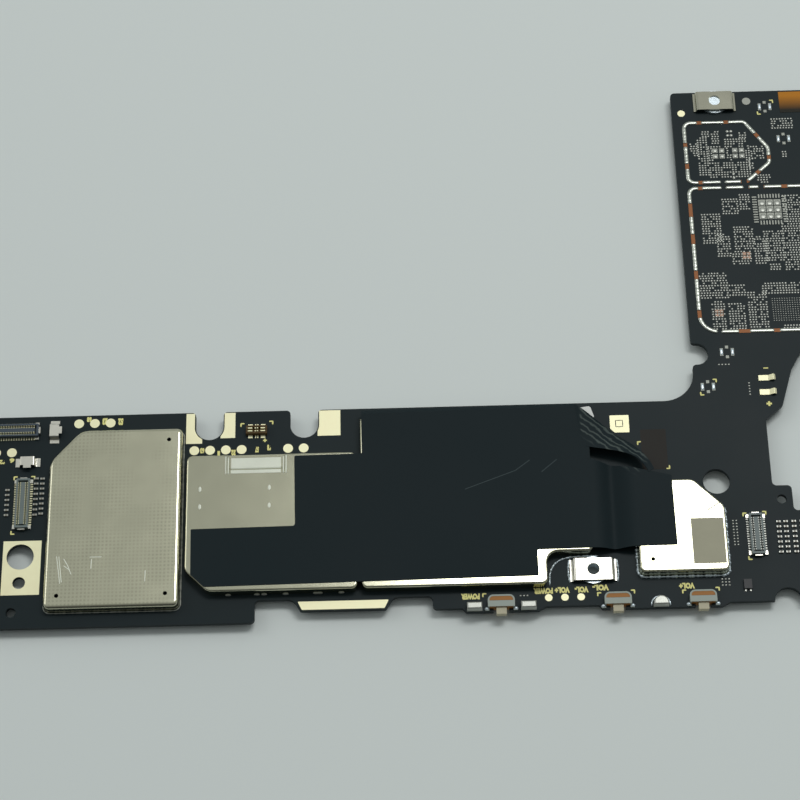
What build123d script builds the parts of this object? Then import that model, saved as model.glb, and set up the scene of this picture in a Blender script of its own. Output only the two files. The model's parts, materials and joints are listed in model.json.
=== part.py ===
"""Main board of a tablet: an L-shaped circuit board with drawn cans, heat tape, connectors and side keys.

Lengths are in millimetres. The origin lies on the axis of the left screw hole, on the underside of the
board. +X runs along the strip towards the arm, +Y from the side keys to the far edge, and +Z up through
the components. Each piece is one node, written to parts/NODE.step.
"""

import os
from math import atan2, degrees, pi, sin

from build123d import *

# ---- board ----
BOARD_T = 0.8
STRIP_LEFT = -13.6  # left end of the strip
STRIP_TOP = 23.9  # far edge of the strip
STRIP_FOOT = -11.7  # near edge below the left can
FOOT_END = 36.2  # where that near edge steps back
RELIEF_Y = -8.05  # near edge on both sides of the earthing tongue
TONGUE_X = (43.2, 56.2)  # earthing tongue between the two relief stretches
TONGUE_Y = -10.0
TONGUE_SLOPE = 1.2  # how far each side of the tongue leans out at its root
KEY_EDGE_LEFT = 63.3  # where the edge that carries the side keys begins
KEY_EDGE_Y = -10.2
KEY_STEP = 0.65  # the key platforms stand out this far past that edge
PLATFORMS_X = ((67.9, 80.6), (88.6, 108.5))
PLATFORM_RAMPS = (0.5, 1.2)  # how far the left and the right end of a platform slope
BLOCK_RIGHT, BLOCK_TOP = 123.2, 4.6  # lower right block
BLOCK_NOTCH_X, BLOCK_NOTCH_R = 117.35, 2.1  # round screw notch in its near edge
LUG_RIGHT, LUG_TOP = 119.45, 8.85  # lug with the small locating hole
WAIST_X, WAIST_TOP = 116.5, 20.2  # right edge of the waist below the arm
HIP = (119.4, 22.7)
SHOULDER = (121.4, 29.2)
ARMPIT = (123.6, 32.9)
ARM_X = (105.7, 130.6)
ARM_TOP = 81.7
INNER_CORNER_R = 5.0
EDGE_R = 0.7  # routed corners of the outline

SCREW_HOLE_D = 4.2
LEFT_PIN_Y, LEFT_PIN_D = -4.3, 1.95
LEFT_VIA = (-1.0, -9.1, 1.5)
RIGHT_SCREW = (107.9, 9.8)
RIGHT_PIN = (117.75, 6.55, 1.5)
NOTCHES_X = (28.85, 43.8)  # two screw notches in the far edge
NOTCH_W, NOTCH_DEPTH = 4.4, 9.4 - 4.6
NOTCH_MOUTH_R = 0.6
ARM_NOTCH = (106.45, 32.1, 1.9)
ARM_NOTCH_MOUTH_R = 0.6

# ---- lands ----
LAND_T = 0.035
LEFT_LAND = (-2.7, 3.2, -6.3, 2.65)
LAND_GAP = 0.15  # bare margin between a land and a routed edge
NOTCH_LANDS = ((25.15, 27.7, 18.5), (30.6, 32.9, 19.35), (45.9, 49.5, 19.35))  # x0, x1, lower edge
TONGUE_LAND_Y = (-9.85, -8.5)
TONGUE_LAND_INSETS = (0.2, 0.45)  # inward at the tip and outward at the root of the tongue
LAND_R = 0.1
FIDUCIAL = (93.45, 20.1, 3.0)
FIDUCIAL_CLIP = 0.7
ARM_DOT = (107.3, 77.6, 1.25)
TEST_D = 1.54
TEST_ROWS = ((8.15, 22.5, 3, 2.5), (-4.75, 17.75, 2, 2.5), (26.5, 17.3, 4, 2.48), (41.25, 17.3, 2, 2.45))
KEY_TEST_D = 1.15
KEY_TEST_ROW = (80.97, -8.84, 3, 2.46)

# ---- shield cans ----
CAN_H = 1.8
CAN_T = 0.2
CAN_FOOT = 0.25  # height of the gaps between the soldered feet
CAN_FOOT_GAP, CAN_FOOT_PITCH = 0.7, 5.0
VENT_D = 0.65
VENT_INSET = 2.05
LEFT_CAN = (4.1, 24.75, -9.3, 20.6)
LEFT_CAN_CUT = (4.7, 5.25)  # cut corner, along x and y
LEFT_CAN_EDGE_R = 0.6
MIDDLE_CAN = (25.55, 51.95, -7.15, 15.65)
MIDDLE_CAN_CUT = 3.55
MAIN_CAN = (52.65, 88.1, -7.15, 21.85)
MAIN_CAN_STEP = (80.9, -1.95)  # inner corner of the step round the lower nut bracket
MAIN_CAN_STEP_R = 1.8
RIGHT_CAN = (95.0, 108.6, -5.7, 9.6)
RIGHT_CAN_CUT = 4.6
CAN_EDGE_R, CAN_R = 0.3, 0.9
UNDER_CAN_H = 1.2  # low cans on the underside
UNDER_CAN_NAMES = ("under_can_left", "under_can_right", "under_can_arm")
UNDER_CANS = ((7.0, 39.0, -6.5, 14.5), (58.0, 99.0, 0.5, 18.5), (109.5, 127.0, 41.0, 70.0))
WINDOW_X, WINDOW_Y = (31.6, 41.1), 13.0  # pressed ledge in the middle can
WINDOW_DEPTH = 0.35
WINDOW_RAMP = 0.45
SOLDER_W, SOLDER_H = 0.2, 0.16
SOLDER_GAP = 0.12

# ---- heat tape, laid out square and then turned about its lower left corner ----
TAPE_T = 0.1
TAPE_AT = (26.5, -6.43)
TAPE_TURN = 0.6
TAPE_CUT = 2.05  # cut corner
TAPE_MAIN_X, TAPE_ARM_X = 53.05, 74.47
TAPE_ARM_Y = (4.27, 15.9)
TAPE_TOP, TAPE_LEDGE = 28.3, 21.4
TAPE_MAIN_LEFT, TAPE_BARE_X, TAPE_BARE_Y = 26.6, 16.05, 9.55
TAPE_SAG = 1.1  # dip between the main can and the right can
TAPE_DROOP = (0.9, 0.5)  # overhang past the main can, and its drop
BOARD_SPAN = 60.0  # more than the strip's depth, for cuts right across it
TAPE_FOLD_X = 60.3  # crease where the torn corner lifts off
FLAP_ROWS, FLAP_COLUMNS = 10, 8
FLAP_WRINKLE, FLAP_DROP, FLAP_RISE = 0.12, 1.4, 0.35
FLAP_LIFT = 0.02  # clearance of the flap over the can
FLAP_CREASE = ((87.4, 15.6), (86.4, 22.9))  # lower and upper end of the crease where the flap lifts off
FLAP_LENGTHS = (9.9, 11.8)  # of the flap's lower and free edges along X
FLAP_FALLS = (2.2, 9.0)  # how far each edge comes down along Y on its way to the tip
FLAP_ROLL = 2.5  # and how far each turns down at the tip
FLAP_SPAN = 9.5  # stretch past the main can over which the flap hangs
PAD = (103.2, 108.2, -4.55, 2.9)  # absorber pad on the right can
PAD_T = 0.08
LINER_T = 0.05

# ---- nut brackets ----
BRACKET_W, BRACKET_D, BRACKET_H = 6.3, 3.55, 0.95
BRACKET_T = 0.25
BRACKET_BEND_R = 0.35
BRACKET_FOOT = 0.5
BRACKET_HOLE_D = 1.9
BRACKETS_AT = ((87.95, -4.65), (112.95, 79.5))
INSERT_D, INSERT_FLANGE_T = 4.4, 0.45
INSERT_BARREL_D, INSERT_CLEAR = 2.9, 0.05  # barrel hole in the board, and the gap round the barrel
INSERT_BORE_D, INSERT_CAP_T = BRACKET_HOLE_D, 0.25  # the upper insert is closed by a cap at its top

# ---- side keys ----
KEYS_X = {"power": 73.72, "volume_down": 91.43, "volume_up": 104.35}
KEY_TRAVEL = 0.2
KEY_W, KEY_D = 4.1, 1.9  # frame, along the edge and into the board
KEY_BACK_Y = -8.45
KEY_H = 1.7  # frame height above the underside
KEY_BAND = 0.25  # frame wall
KEY_BACK_R = 0.7
KEY_CLEAR = 0.1  # gap between the frame and the board notch
KEY_LID_D, KEY_LID_T = 0.95, 0.15
KEY_EAR = (0.6, 0.5, 0.2)  # soldered ear at each front corner of the frame
KEY_EAR_X = 2.15
PLUNGER_W, PLUNGER_H = 1.56, 0.9
PLUNGER_OUT = 1.2  # how far the plunger stands out of the frame
PLUNGER_CLEAR = 0.05
PLUNGER_SLOT_CLEAR = 0.4
PLUNGER_Z = 0.45  # underside of the plunger
PLUNGER_HEAD_W = 2.4  # hidden shoulder that keeps the plunger in
DOME_D, DOME_T = 0.85, 0.08
BODY_LIFT = 0.1  # underside of the key bodies over the underside of the board
KEY_RIDGE_T = 0.1  # ridge of the body behind the lid
STOP_W, STOP_D, STOP_H = 2.33, 1.15, 1.25
STOPS_X = (69.65, 77.86)
STOP_Y = -10.2
STOP_R = 0.25
ROUND_STOP_X, ROUND_STOP_FRONT = 97.92, 0.35  # stop with a round back, and the depth of its straight front

# ---- connectors ----
CONTACT_PITCH = 0.4
CONTACT_W, CONTACT_T = 0.18, 0.1
CONTACT_TAIL = 0.4
CONNECTOR_H, CONNECTOR_W = 0.9, 2.1
CONNECTOR_WALL, CONNECTOR_FLOOR = 0.28, 0.2
CONNECTOR_TONGUE_W = 0.7
CONNECTOR_END = 0.75  # solid end beyond the last contact
CONNECTOR_CAP = (0.25, 1.1, 0.6)  # plate at each end
CONNECTOR_EAR = (0.6, 0.4, 0.3)  # soldered ear at each corner
CONNECTORS = {
    "display_connector": ((-4.65, 21.3), 0, 30),
    "camera_connector": ((-0.05, 8.75), 90, 18),
    "audio_connector": ((113.35, 0.6), 90, 14),
}
BATTERY_AT, BATTERY_SIZE = (36.3, 20.4), (3.3, 1.4, 0.8)
BATTERY_WELL = 0.25
BATTERY_BLADE_W, BATTERY_PIN_W = 0.7, 0.18
BATTERY_BLADE_X, BATTERY_PIN_X = 1.0, 0.17
BATTERY_TAIL, BATTERY_BLADE_Y, BATTERY_BLADE_T = 0.5, 0.25, 0.16

# ---- springs and small parts ----
SPRING_T, SPRING_BEND_R = 0.12, 0.1
CLIP_ROOF, CLIP_DEPTH, CLIP_H = 2.3, 1.45, 0.95
CLIP_FOOT, CLIP_LEAN, CLIP_BEND_R = 0.7, 0.15, 0.2
CLIP_EAR = (1.2, 0.6, SPRING_T)
CLIPS_AT = {"antenna_spring_upper": ((4.4, 21.1), 90), "antenna_spring_lower": ((0.4, 15.9), 0)}
SPEAKER_LENGTH, SPEAKER_W, SPEAKER_H = 2.6, 0.95, 0.6
SPEAKER_KNEE, SPEAKER_CREST = 0.2, 0.75  # where the finger leaves the foot and where it is highest
SPEAKERS_AT = ((117.25, 27.5), (117.25, 25.0))
SENSOR_AT, SENSOR_SIZE = (111.3, -7.5), (1.2, 1.5, 0.45)
SENSOR_LEG = (0.25, 0.35, 0.12)
SENSOR_LEG_X = 0.38
CHIP_SIZE = (0.34, 0.3, 0.28)  # bare body between the two tinned ends
CHIP_END = 0.16
CHIP_COLUMNS = ((1.9, 6.95, 8, 0.88), (2.85, 7.1, 8, 0.85), (-2.55, 7.0, 6, 0.85))
CHIP_COLUMNS += tuple((x, -2.35, 7, 0.84) for x in (116.85, 117.95, 119.2, 120.45))

# ---- arm lands ----
TRACK_W, TRACK_T = 0.62, 0.05
LOOP_R = 1.1
UPPER_LOOP_X, UPPER_LOOP_Y = (107.55, 121.25), (63.95, 75.65)
UPPER_LOOP_CUTS = ((4.0, 3.6), (3.6, 5.2))  # cut corners at the lower and the upper right
UPPER_GAPS = (5.7, 9.2)  # breaks in the lower side, from the left end
LOWER_LOOP_X, LOWER_LOOP_Y = (107.5, 128.1), (36.0, 62.85)
LOWER_LOOP_R = 3.0  # round lower left corner
LOWER_GAPS, LOWER_FOOT_GAP = (5.75, 9.45, 11.95), 2.95  # breaks in the upper and the lower side
TRACK_GAP = 0.9
TIN_T = 0.07
THERMAL_AT, THERMAL_PAD, THERMAL_PITCH = (120.55, 58.5), 1.15, 1.27
PIN_PITCH, PIN_PAD = 0.475, (0.75, 0.22)
PIN_RING = (4.85, 5.05)  # distance between the two rows, across x and across y
QUADS_AT, QUAD_PAD, QUAD_PITCH = ((112.95, 69.5), (116.25, 69.5)), 0.85, 1.12
COAX_AT = ((111.35, 32.3), (107.85, 26.2), (121.4, 78.5), (124.0, 72.1))
COAX_LAND, COAX_SPAN = (0.5, 1.35), 1.75
ROUND_LAND = (118.4, 79.7, 1.4)
FILM = (123.9, 130.2, 77.3, 81.4)
FILM_T = 0.05

# ---- inside the cans: name -> (can, width, depth, height, centre offset) ----
INNER = {
    "processor": (MAIN_CAN, 14.0, 14.0, 0.6, (-6.5, 2.0)),
    "storage_chip": (MAIN_CAN, 11.5, 13.0, 0.9, (9.5, 4.0)),
    "power_chip": (MIDDLE_CAN, 7.5, 7.5, 0.7, (2.0, -3.5)),
    "modem_chip": (LEFT_CAN, 10.0, 10.0, 0.8, (0.0, 5.0)),
    "radio_chip": (RIGHT_CAN, 6.5, 6.5, 0.7, (-1.0, -1.0)),
}
MEMORY = (13.0, 13.0, 0.6)
THERMAL_SHEET = 10.0

TOP = BOARD_T
LID = TOP + CAN_H


# ---------------------------------------------------------------- helpers


def outline(corners):
    """Flat face inside the closed path through corners given as (x, y, corner radius)."""
    path = FilletPolyline([(x, y) for x, y, _ in corners], radius=[r for _, _, r in corners], close=True)
    return make_face(path.edges())


def box(x0, x1, y0, y1, z0, z1):
    """Block between two opposite corners."""
    return Pos((x0 + x1) / 2, (y0 + y1) / 2, (z0 + z1) / 2) * Box(x1 - x0, y1 - y0, z1 - z0)


def block(at, size, z0):
    """Block of size (x, y, z) centred over at, standing on z0."""
    x, y = at
    w, d, h = size
    return box(x - w / 2, x + w / 2, y - d / 2, y + d / 2, z0, z0 + h)


def disc(x, y, diameter, z0, height):
    """Upright cylinder standing on z0."""
    return Pos(x, y, z0 + height / 2) * Cylinder(diameter / 2, height)


def prism(face, z0, height):
    """Face at z = 0 raised to z0 and given a height."""
    return Pos(0, 0, z0) * extrude(face, height)


def ribbon(points, thickness, radius):
    """Sheet profile in XY: a rounded polyline given a thickness."""
    return trace(FilletPolyline(*points, radius=radius), thickness)


def row(x, y, count, pitch):
    """Places of a row that starts at x, y and runs along +X."""
    return [(x + n * pitch, y) for n in range(count)]


def column(x, y, count, pitch):
    """Places of a column that starts at x, y and runs along +Y."""
    return [(x, y + n * pitch) for n in range(count)]


def centred(count, pitch):
    """Offsets of a row of pieces about its middle."""
    return [(n - (count - 1) / 2) * pitch for n in range(count)]


# ---------------------------------------------------------------- board


def notch_face(x, margin=0.0):
    """Round-ended screw notch in the far edge, grown by margin."""
    r = NOTCH_W / 2 + margin
    centre_y = STRIP_TOP - NOTCH_DEPTH + NOTCH_W / 2
    mouth = Pos(x, centre_y + NOTCH_DEPTH) * Rectangle(2 * r, 2 * NOTCH_DEPTH)
    return mouth + Pos(x, centre_y) * Circle(r)


def board_corners():
    """Corners of the routed outline, anticlockwise from the left end of the near edge."""
    x0, x1 = TONGUE_X
    corners = [
        (STRIP_LEFT, STRIP_FOOT, EDGE_R),
        (FOOT_END, STRIP_FOOT, EDGE_R),
        (FOOT_END, RELIEF_Y, EDGE_R),
        (x0 - TONGUE_SLOPE, RELIEF_Y, 1.4),
        (x0, TONGUE_Y, 0.4),
        (x1, TONGUE_Y, 0.4),
        (x1 + TONGUE_SLOPE, RELIEF_Y, 1.4),
        (KEY_EDGE_LEFT, RELIEF_Y, EDGE_R),
        (KEY_EDGE_LEFT, KEY_EDGE_Y, EDGE_R),
    ]
    rise, fall = PLATFORM_RAMPS
    for left, right in PLATFORMS_X:
        corners += [
            (left, KEY_EDGE_Y, 0.3),
            (left + rise, KEY_EDGE_Y - KEY_STEP, 0.3),
            (right - fall, KEY_EDGE_Y - KEY_STEP, 0.5),
            (right, KEY_EDGE_Y, 0.5),
        ]
    corners += [
        (BLOCK_RIGHT, KEY_EDGE_Y, EDGE_R),
        (BLOCK_RIGHT, BLOCK_TOP, EDGE_R),
        (LUG_RIGHT, BLOCK_TOP, EDGE_R),
        (LUG_RIGHT, LUG_TOP, EDGE_R),
        (WAIST_X, LUG_TOP, EDGE_R),
        (WAIST_X, WAIST_TOP, EDGE_R),
        (*HIP, EDGE_R),
        (*SHOULDER, EDGE_R),
        (*ARMPIT, EDGE_R),
        (ARM_X[1], ARMPIT[1], EDGE_R),
        (ARM_X[1], ARM_TOP, EDGE_R),
        (ARM_X[0], ARM_TOP, EDGE_R),
        (ARM_X[0], STRIP_TOP, INNER_CORNER_R),
        (STRIP_LEFT, STRIP_TOP, EDGE_R),
    ]
    return corners


def key_notch(x):
    """T-shaped opening in the board for one side key."""
    half = KEY_W / 2 - KEY_BAND
    front = KEY_BACK_Y - KEY_D
    slot = PLUNGER_W / 2 + PLUNGER_SLOT_CLEAR
    edge = KEY_EDGE_Y - 2 * KEY_STEP
    wide, back = half + KEY_CLEAR, KEY_BACK_Y - KEY_BAND + KEY_CLEAR
    well = box(x - wide, x + wide, front - KEY_CLEAR, back, -1, 9)
    return well + box(x - slot, x + slot, edge, front, -1, 9)


def circuit_board():
    """Routed board: outline, screw notches, holes and the openings for the keys."""
    face = outline(board_corners())
    for x in NOTCHES_X:
        face -= notch_face(x)
    face -= Pos(ARM_NOTCH[0], ARM_NOTCH[1]) * Circle(ARM_NOTCH[2])
    face -= Pos(BLOCK_NOTCH_X, KEY_EDGE_Y) * Circle(BLOCK_NOTCH_R)
    lips = [v for v in face.vertices() if abs(v.Y - STRIP_TOP) < 0.01 and near_notch(v.X)]
    face = fillet(lips, NOTCH_MOUTH_R)
    lips = [v for v in face.vertices() if abs(v.X - ARM_X[0]) < 0.01 and abs(v.Y - ARM_NOTCH[1]) < 3]
    face = fillet(lips, ARM_NOTCH_MOUTH_R)
    board = extrude(face, BOARD_T)
    for x, y, d in board_holes():
        board -= disc(x, y, d, -1, BOARD_T + 2)
    for x in KEYS_X.values():
        board -= key_notch(x)
    return board


def near_notch(x):
    """True at the two lips of a screw notch."""
    return any(abs(abs(x - centre) - NOTCH_W / 2) < 0.01 for centre in NOTCHES_X)


def board_holes():
    """Round holes as (x, y, diameter)."""
    screws = [(0, 0, SCREW_HOLE_D), (*RIGHT_SCREW, SCREW_HOLE_D)]
    holes = screws + [(0, LEFT_PIN_Y, LEFT_PIN_D), LEFT_VIA, RIGHT_PIN]
    return holes + [(x, y, INSERT_BARREL_D) for x, y in BRACKETS_AT]


def earth_lands():
    """Gold-plated earthing lands round the left screw, at the notches, on the tongue, and two marks."""
    x0, x1, y0, y1 = LEFT_LAND
    left = box(x0, x1, y0, y1, TOP, TOP + LAND_T)
    for x, y, d in ((0, 0, SCREW_HOLE_D), (0, LEFT_PIN_Y, LEFT_PIN_D)):
        left -= disc(x, y, d, TOP - 1, 3)
    lands = [left]
    for x0, x1, y0 in NOTCH_LANDS:
        land = box(x0, x1, y0, STRIP_TOP - LAND_GAP, TOP, TOP + LAND_T)
        for x in NOTCHES_X:
            land -= prism(notch_face(x, LAND_GAP), TOP - 1, 3)
        lands.append(land)
    (x0, x1), (y0, y1), r = TONGUE_X, TONGUE_LAND_Y, LAND_R
    narrow, wide = TONGUE_LAND_INSETS
    tongue = [(x0 + narrow, y0, r), (x1 - narrow, y0, r), (x1 + wide, y1, r), (x0 - wide, y1, r)]
    lands.append(prism(outline(tongue), TOP, LAND_T))
    x, y, side = FIDUCIAL
    h, clip = side / 2, FIDUCIAL_CLIP
    clipped = [(x - h, y - h + clip, 0), (x - h + clip, y - h, 0)]
    square = clipped + [(x + h, y - h, r), (x + h, y + h, r), (x - h, y + h, r)]
    lands.append(prism(outline(square), TOP, LAND_T))
    lands.append(disc(*ARM_DOT, TOP, LAND_T))
    return lands


def test_pads():
    """Round gold test pads in rows."""
    pads = [disc(*at, TEST_D, TOP, LAND_T) for start in TEST_ROWS for at in row(*start)]
    return pads + [disc(*at, KEY_TEST_D, TOP, LAND_T) for at in row(*KEY_TEST_ROW)]


# ---------------------------------------------------------------- shield cans


def can_corners(can, cut=None, step=None):
    """Corners of a can in plan. cut is (corner, along x, along y); step is the inner corner of a step."""
    x0, x1, y0, y1 = can
    r = CAN_R
    corner, dx, dy = cut or ("none", 0, 0)
    low_left = [(x0, y0 + dy, 2 * r), (x0 + dx, y0, 2 * r)] if corner == "low_left" else [(x0, y0, r)]
    low_right = [(x1, y0, r)]
    if step:
        low_right = [(step[0], y0, r), (*step, MAIN_CAN_STEP_R), (x1, step[1], r)]
    top_right = [(x1, y1 - dy, 2 * r), (x1 - dx, y1, 2 * r)] if corner == "top_right" else [(x1, y1, r)]
    top_left = [(x0 + dx, y1, 3.0), (x0, y1 - dy, 3.0)] if corner == "top_left" else [(x0, y1, r)]
    return low_left + low_right + top_right + top_left


def drawn_can(corners, edge_r, height=CAN_H):
    """Hollow can drawn from one sheet, with rounded top edges and gaps between its soldered feet."""
    face = outline(corners)
    outer = extrude(face, height)
    outer = fillet(outer.edges().group_by(Axis.Z)[-1], edge_r)
    inner_face = offset(face, -CAN_T, kind=Kind.INTERSECTION)
    inner = Pos(0, 0, -1) * extrude(inner_face, height - CAN_T + 1)
    can = outer - inner
    wire = face.face().outer_wire()
    gaps = int(wire.length / CAN_FOOT_PITCH)
    for n in range(gaps):
        at, along = wire.position_at((n + 0.5) / gaps), wire.tangent_at((n + 0.5) / gaps)
        gap = Rot(0, 0, degrees(atan2(along.Y, along.X))) * Box(CAN_FOOT_GAP, 4 * CAN_T, 2 * CAN_FOOT)
        can -= Pos(at.X, at.Y, 0) * gap
    return Pos(0, 0, TOP) * can


def vents(can, places):
    """Drill round vent holes through the lid of a can."""
    for x, y in places:
        can -= disc(x, y, VENT_D, LID - 2 * CAN_T, 1)
    return can


def left_can_corners():
    return can_corners(LEFT_CAN, ("top_left", *LEFT_CAN_CUT))


def middle_can_corners():
    return can_corners(MIDDLE_CAN, ("low_left", MIDDLE_CAN_CUT, MIDDLE_CAN_CUT))


def main_can_corners():
    return can_corners(MAIN_CAN, step=MAIN_CAN_STEP)


def right_can_corners():
    return can_corners(RIGHT_CAN, ("top_right", RIGHT_CAN_CUT, RIGHT_CAN_CUT))


def shield_can_left():
    """Tall-edged can at the left, with three vents."""
    x0, x1, y0, y1 = LEFT_CAN
    i = VENT_INSET
    places = [(x0 + i, y0 + i), (x1 - i, y0 + i), (x1 - i, y1 - i)]
    return vents(drawn_can(left_can_corners(), LEFT_CAN_EDGE_R), places)


def window_pocket(level):
    """Sloping-sided pocket of the middle can's window, with its floor WINDOW_DEPTH below a level."""
    (x0, x1), y0, y1 = WINDOW_X, WINDOW_Y, MIDDLE_CAN[3] + 1
    faces = []
    for ramp, z in ((WINDOW_RAMP, level - WINDOW_DEPTH), (-WINDOW_RAMP, level + WINDOW_DEPTH)):
        width, depth = x1 - x0 - 2 * ramp, y1 - y0 - ramp
        faces.append(Pos((x0 + x1) / 2, y1 - depth / 2, z) * Rectangle(width, depth))
    return loft(faces)


def shield_can_middle():
    """Middle can with a ledge pressed into its far edge."""
    can = drawn_can(middle_can_corners(), CAN_EDGE_R)
    y1, z1 = MIDDLE_CAN[3] - CAN_T / 2, LID - CAN_T / 2
    pressed = window_pocket(LID - CAN_T) & box(*WINDOW_X, WINDOW_Y, y1, TOP, z1)
    return can + pressed - window_pocket(LID)


def shield_can_main():
    """Largest can, stepped round the lower nut bracket."""
    return drawn_can(main_can_corners(), CAN_EDGE_R)


def shield_can_right():
    """Small can by the right screw, with one vent."""
    x0, _, y0, _ = RIGHT_CAN
    return vents(drawn_can(right_can_corners(), CAN_EDGE_R), [(x0 + VENT_INSET, y0 + VENT_INSET)])


def under_cans():
    """Low cans on the underside, over the parts that face the tablet's back."""
    cans = [drawn_can(can_corners(can), CAN_EDGE_R, UNDER_CAN_H) for can in UNDER_CANS]
    return {name: mirror(Pos(0, 0, -TOP) * can, Plane.XY) for name, can in zip(UNDER_CAN_NAMES, cans)}


def can_solder():
    """Fillets of solder along the feet of the left and the right can."""
    rings = []
    for corners in (left_can_corners(), right_can_corners()):
        foot = outline(corners)
        ring = offset(foot, SOLDER_GAP + SOLDER_W) - offset(foot, SOLDER_GAP)
        rings.append(prism(ring, TOP, SOLDER_H))
    return rings


# ---------------------------------------------------------------- heat tape


def tape_place(shape):
    """Turn what was laid out square about the tape's lower left corner, and move it there."""
    return Pos(*TAPE_AT) * Rot(0, 0, TAPE_TURN) * shape


def tape_face():
    """Outline of the lying part of the tape, laid out square."""
    low, high = TAPE_ARM_Y
    return outline([
        (0, TAPE_CUT, 0.3),
        (TAPE_CUT, 0, 0.3),
        (TAPE_MAIN_X, 0, 0.2),
        (TAPE_MAIN_X, low, 0.2),
        (TAPE_ARM_X, low, 0.2),
        (TAPE_ARM_X, high, 0.2),
        (TAPE_ARM_X - 6.2, high + 1.6, 1.0),
        (TAPE_FOLD_X + 1.4, high + 3.4, 0.5),
        (TAPE_FOLD_X, TAPE_TOP, 0.2),
        (TAPE_MAIN_LEFT, TAPE_TOP, 0.2),
        (TAPE_MAIN_LEFT, TAPE_LEDGE, 0.2),
        (TAPE_BARE_X, TAPE_LEDGE, 0.2),
        (TAPE_BARE_X, TAPE_BARE_Y, 0.4),
        (0, TAPE_BARE_Y, 0.2),
    ])


def flap_point(u, v):
    """Point of the torn corner: u runs from the crease to the tip, v from the lower edge to the free edge."""
    ends = zip(FLAP_CREASE, FLAP_LENGTHS, FLAP_FALLS)
    (x0, y0), (x1, y1) = [(x + length * u, y - fall * u - FLAP_ROLL * u**8) for (x, y), length, fall in ends]
    x, y = x0 + (x1 - x0) * v, y0 + (y1 - y0) * v
    past_can = min(max((x - MAIN_CAN[1]) / FLAP_SPAN, 0), 1)
    swell = sin(pi * past_can)
    lift = FLAP_RISE * (1 - v) - FLAP_DROP * v + FLAP_WRINKLE * sin(3 * pi * v)
    return Vector(x, y, LID + TAPE_T / 2 + FLAP_LIFT + swell * lift)


def sagging_profile():
    """Side view of the tape: flat on the cans, and a smooth dip between the main and the right one."""
    left, right = MAIN_CAN[1], RIGHT_CAN[0]
    lines = []
    for level in (LID, LID + TAPE_T):
        lines += Polyline((0, level), (left, level)).edges()
        dip = [(left, level), ((left + right) / 2, level - TAPE_SAG), (right, level)]
        lines += Spline(*dip, tangents=[(1, 0), (1, 0)]).edges()
        lines += Polyline((right, level), (ARM_X[1], level)).edges()
    lines += [Edge.make_line((x, LID), (x, LID + TAPE_T)) for x in (0, ARM_X[1])]
    return make_face(lines)


def heat_tape():
    """Tape over the cans: it dips between them, hangs over the far edge and has one torn, lifted corner."""
    sheet = Pos(0, BOARD_SPAN, 0) * extrude(Plane.XZ * sagging_profile(), 2 * BOARD_SPAN)
    sheet &= tape_place(prism(tape_face(), 0, 9))
    out, drop = TAPE_DROOP
    y = TAPE_TOP - 0.2
    low, far = LID - drop, y + out
    edge = Polyline((y, LID), (far, low), (far, low + TAPE_T), (y, LID + TAPE_T), close=True)
    lip = extrude(Plane.YZ * make_face(edge), TAPE_FOLD_X - TAPE_MAIN_LEFT)
    sheet += tape_place(Pos(TAPE_MAIN_LEFT, 0, 0) * lip)
    steps_u, steps_v = FLAP_ROWS - 1, FLAP_COLUMNS - 1
    grid = [[flap_point(a / steps_u, b / steps_v) for b in range(FLAP_COLUMNS)] for a in range(FLAP_ROWS)]
    flap = thicken(Face.make_surface_from_array_of_points(grid), TAPE_T / 2, both=True)
    return sheet + flap


def tape_liner():
    """Scrap of white release liner that stands out of the torn corner."""
    corners = [(86.7, 22.6, 0), (88.9, 22.9, 0.4), (89.6, 20.6, 0.2)]
    return prism(outline(corners), LID - 0.9, LINER_T)


def absorber_pad():
    """Thin grey pad stuck on the right can."""
    x0, x1, y0, y1 = PAD
    return box(x0, x1, y0, y1, LID, LID + PAD_T)


# ---------------------------------------------------------------- nut brackets


def bridge(width, foot, depth, height, thickness, bend_r, lean=0.0):
    """Strip folded into a bridge that stands on two outward feet. lean slopes its legs."""
    w, low, high = width / 2 - thickness / 2, thickness / 2, height - thickness / 2
    path = [(-w - lean - foot, low), (-w - lean, low), (-w, high)]
    path += [(-x, z) for x, z in reversed(path)]
    return extrude(Plane.XZ * ribbon(path, thickness, bend_r), depth / 2, both=True)


def nut_bracket(x, y):
    """Folded bridge with two soldered feet and a screw hole, over a nut."""
    strip = bridge(BRACKET_W, BRACKET_FOOT, BRACKET_D, BRACKET_H, BRACKET_T, BRACKET_BEND_R)
    return Pos(x, y, TOP) * (strip - disc(0, 0, BRACKET_HOLE_D, -1, 5))


def nut_brackets():
    """The lower and the upper bracket."""
    lower, upper = BRACKETS_AT
    return {"nut_bracket_lower": nut_bracket(*lower), "nut_bracket_upper": nut_bracket(*upper)}


def screw_inserts():
    """Threaded inserts: a flange on the board, a barrel through it and a bore, which the upper one closes."""
    inserts = []
    height = BOARD_T + BRACKET_H - BRACKET_T
    for (x, y), cap in zip(BRACKETS_AT, (-1, INSERT_CAP_T)):
        insert = disc(x, y, INSERT_D, TOP, INSERT_FLANGE_T)
        insert += disc(x, y, INSERT_BARREL_D - 2 * INSERT_CLEAR, 0, height)
        inserts.append(insert - disc(x, y, INSERT_BORE_D, -1, height - cap + 1))
    return inserts


# ---------------------------------------------------------------- side keys


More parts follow.
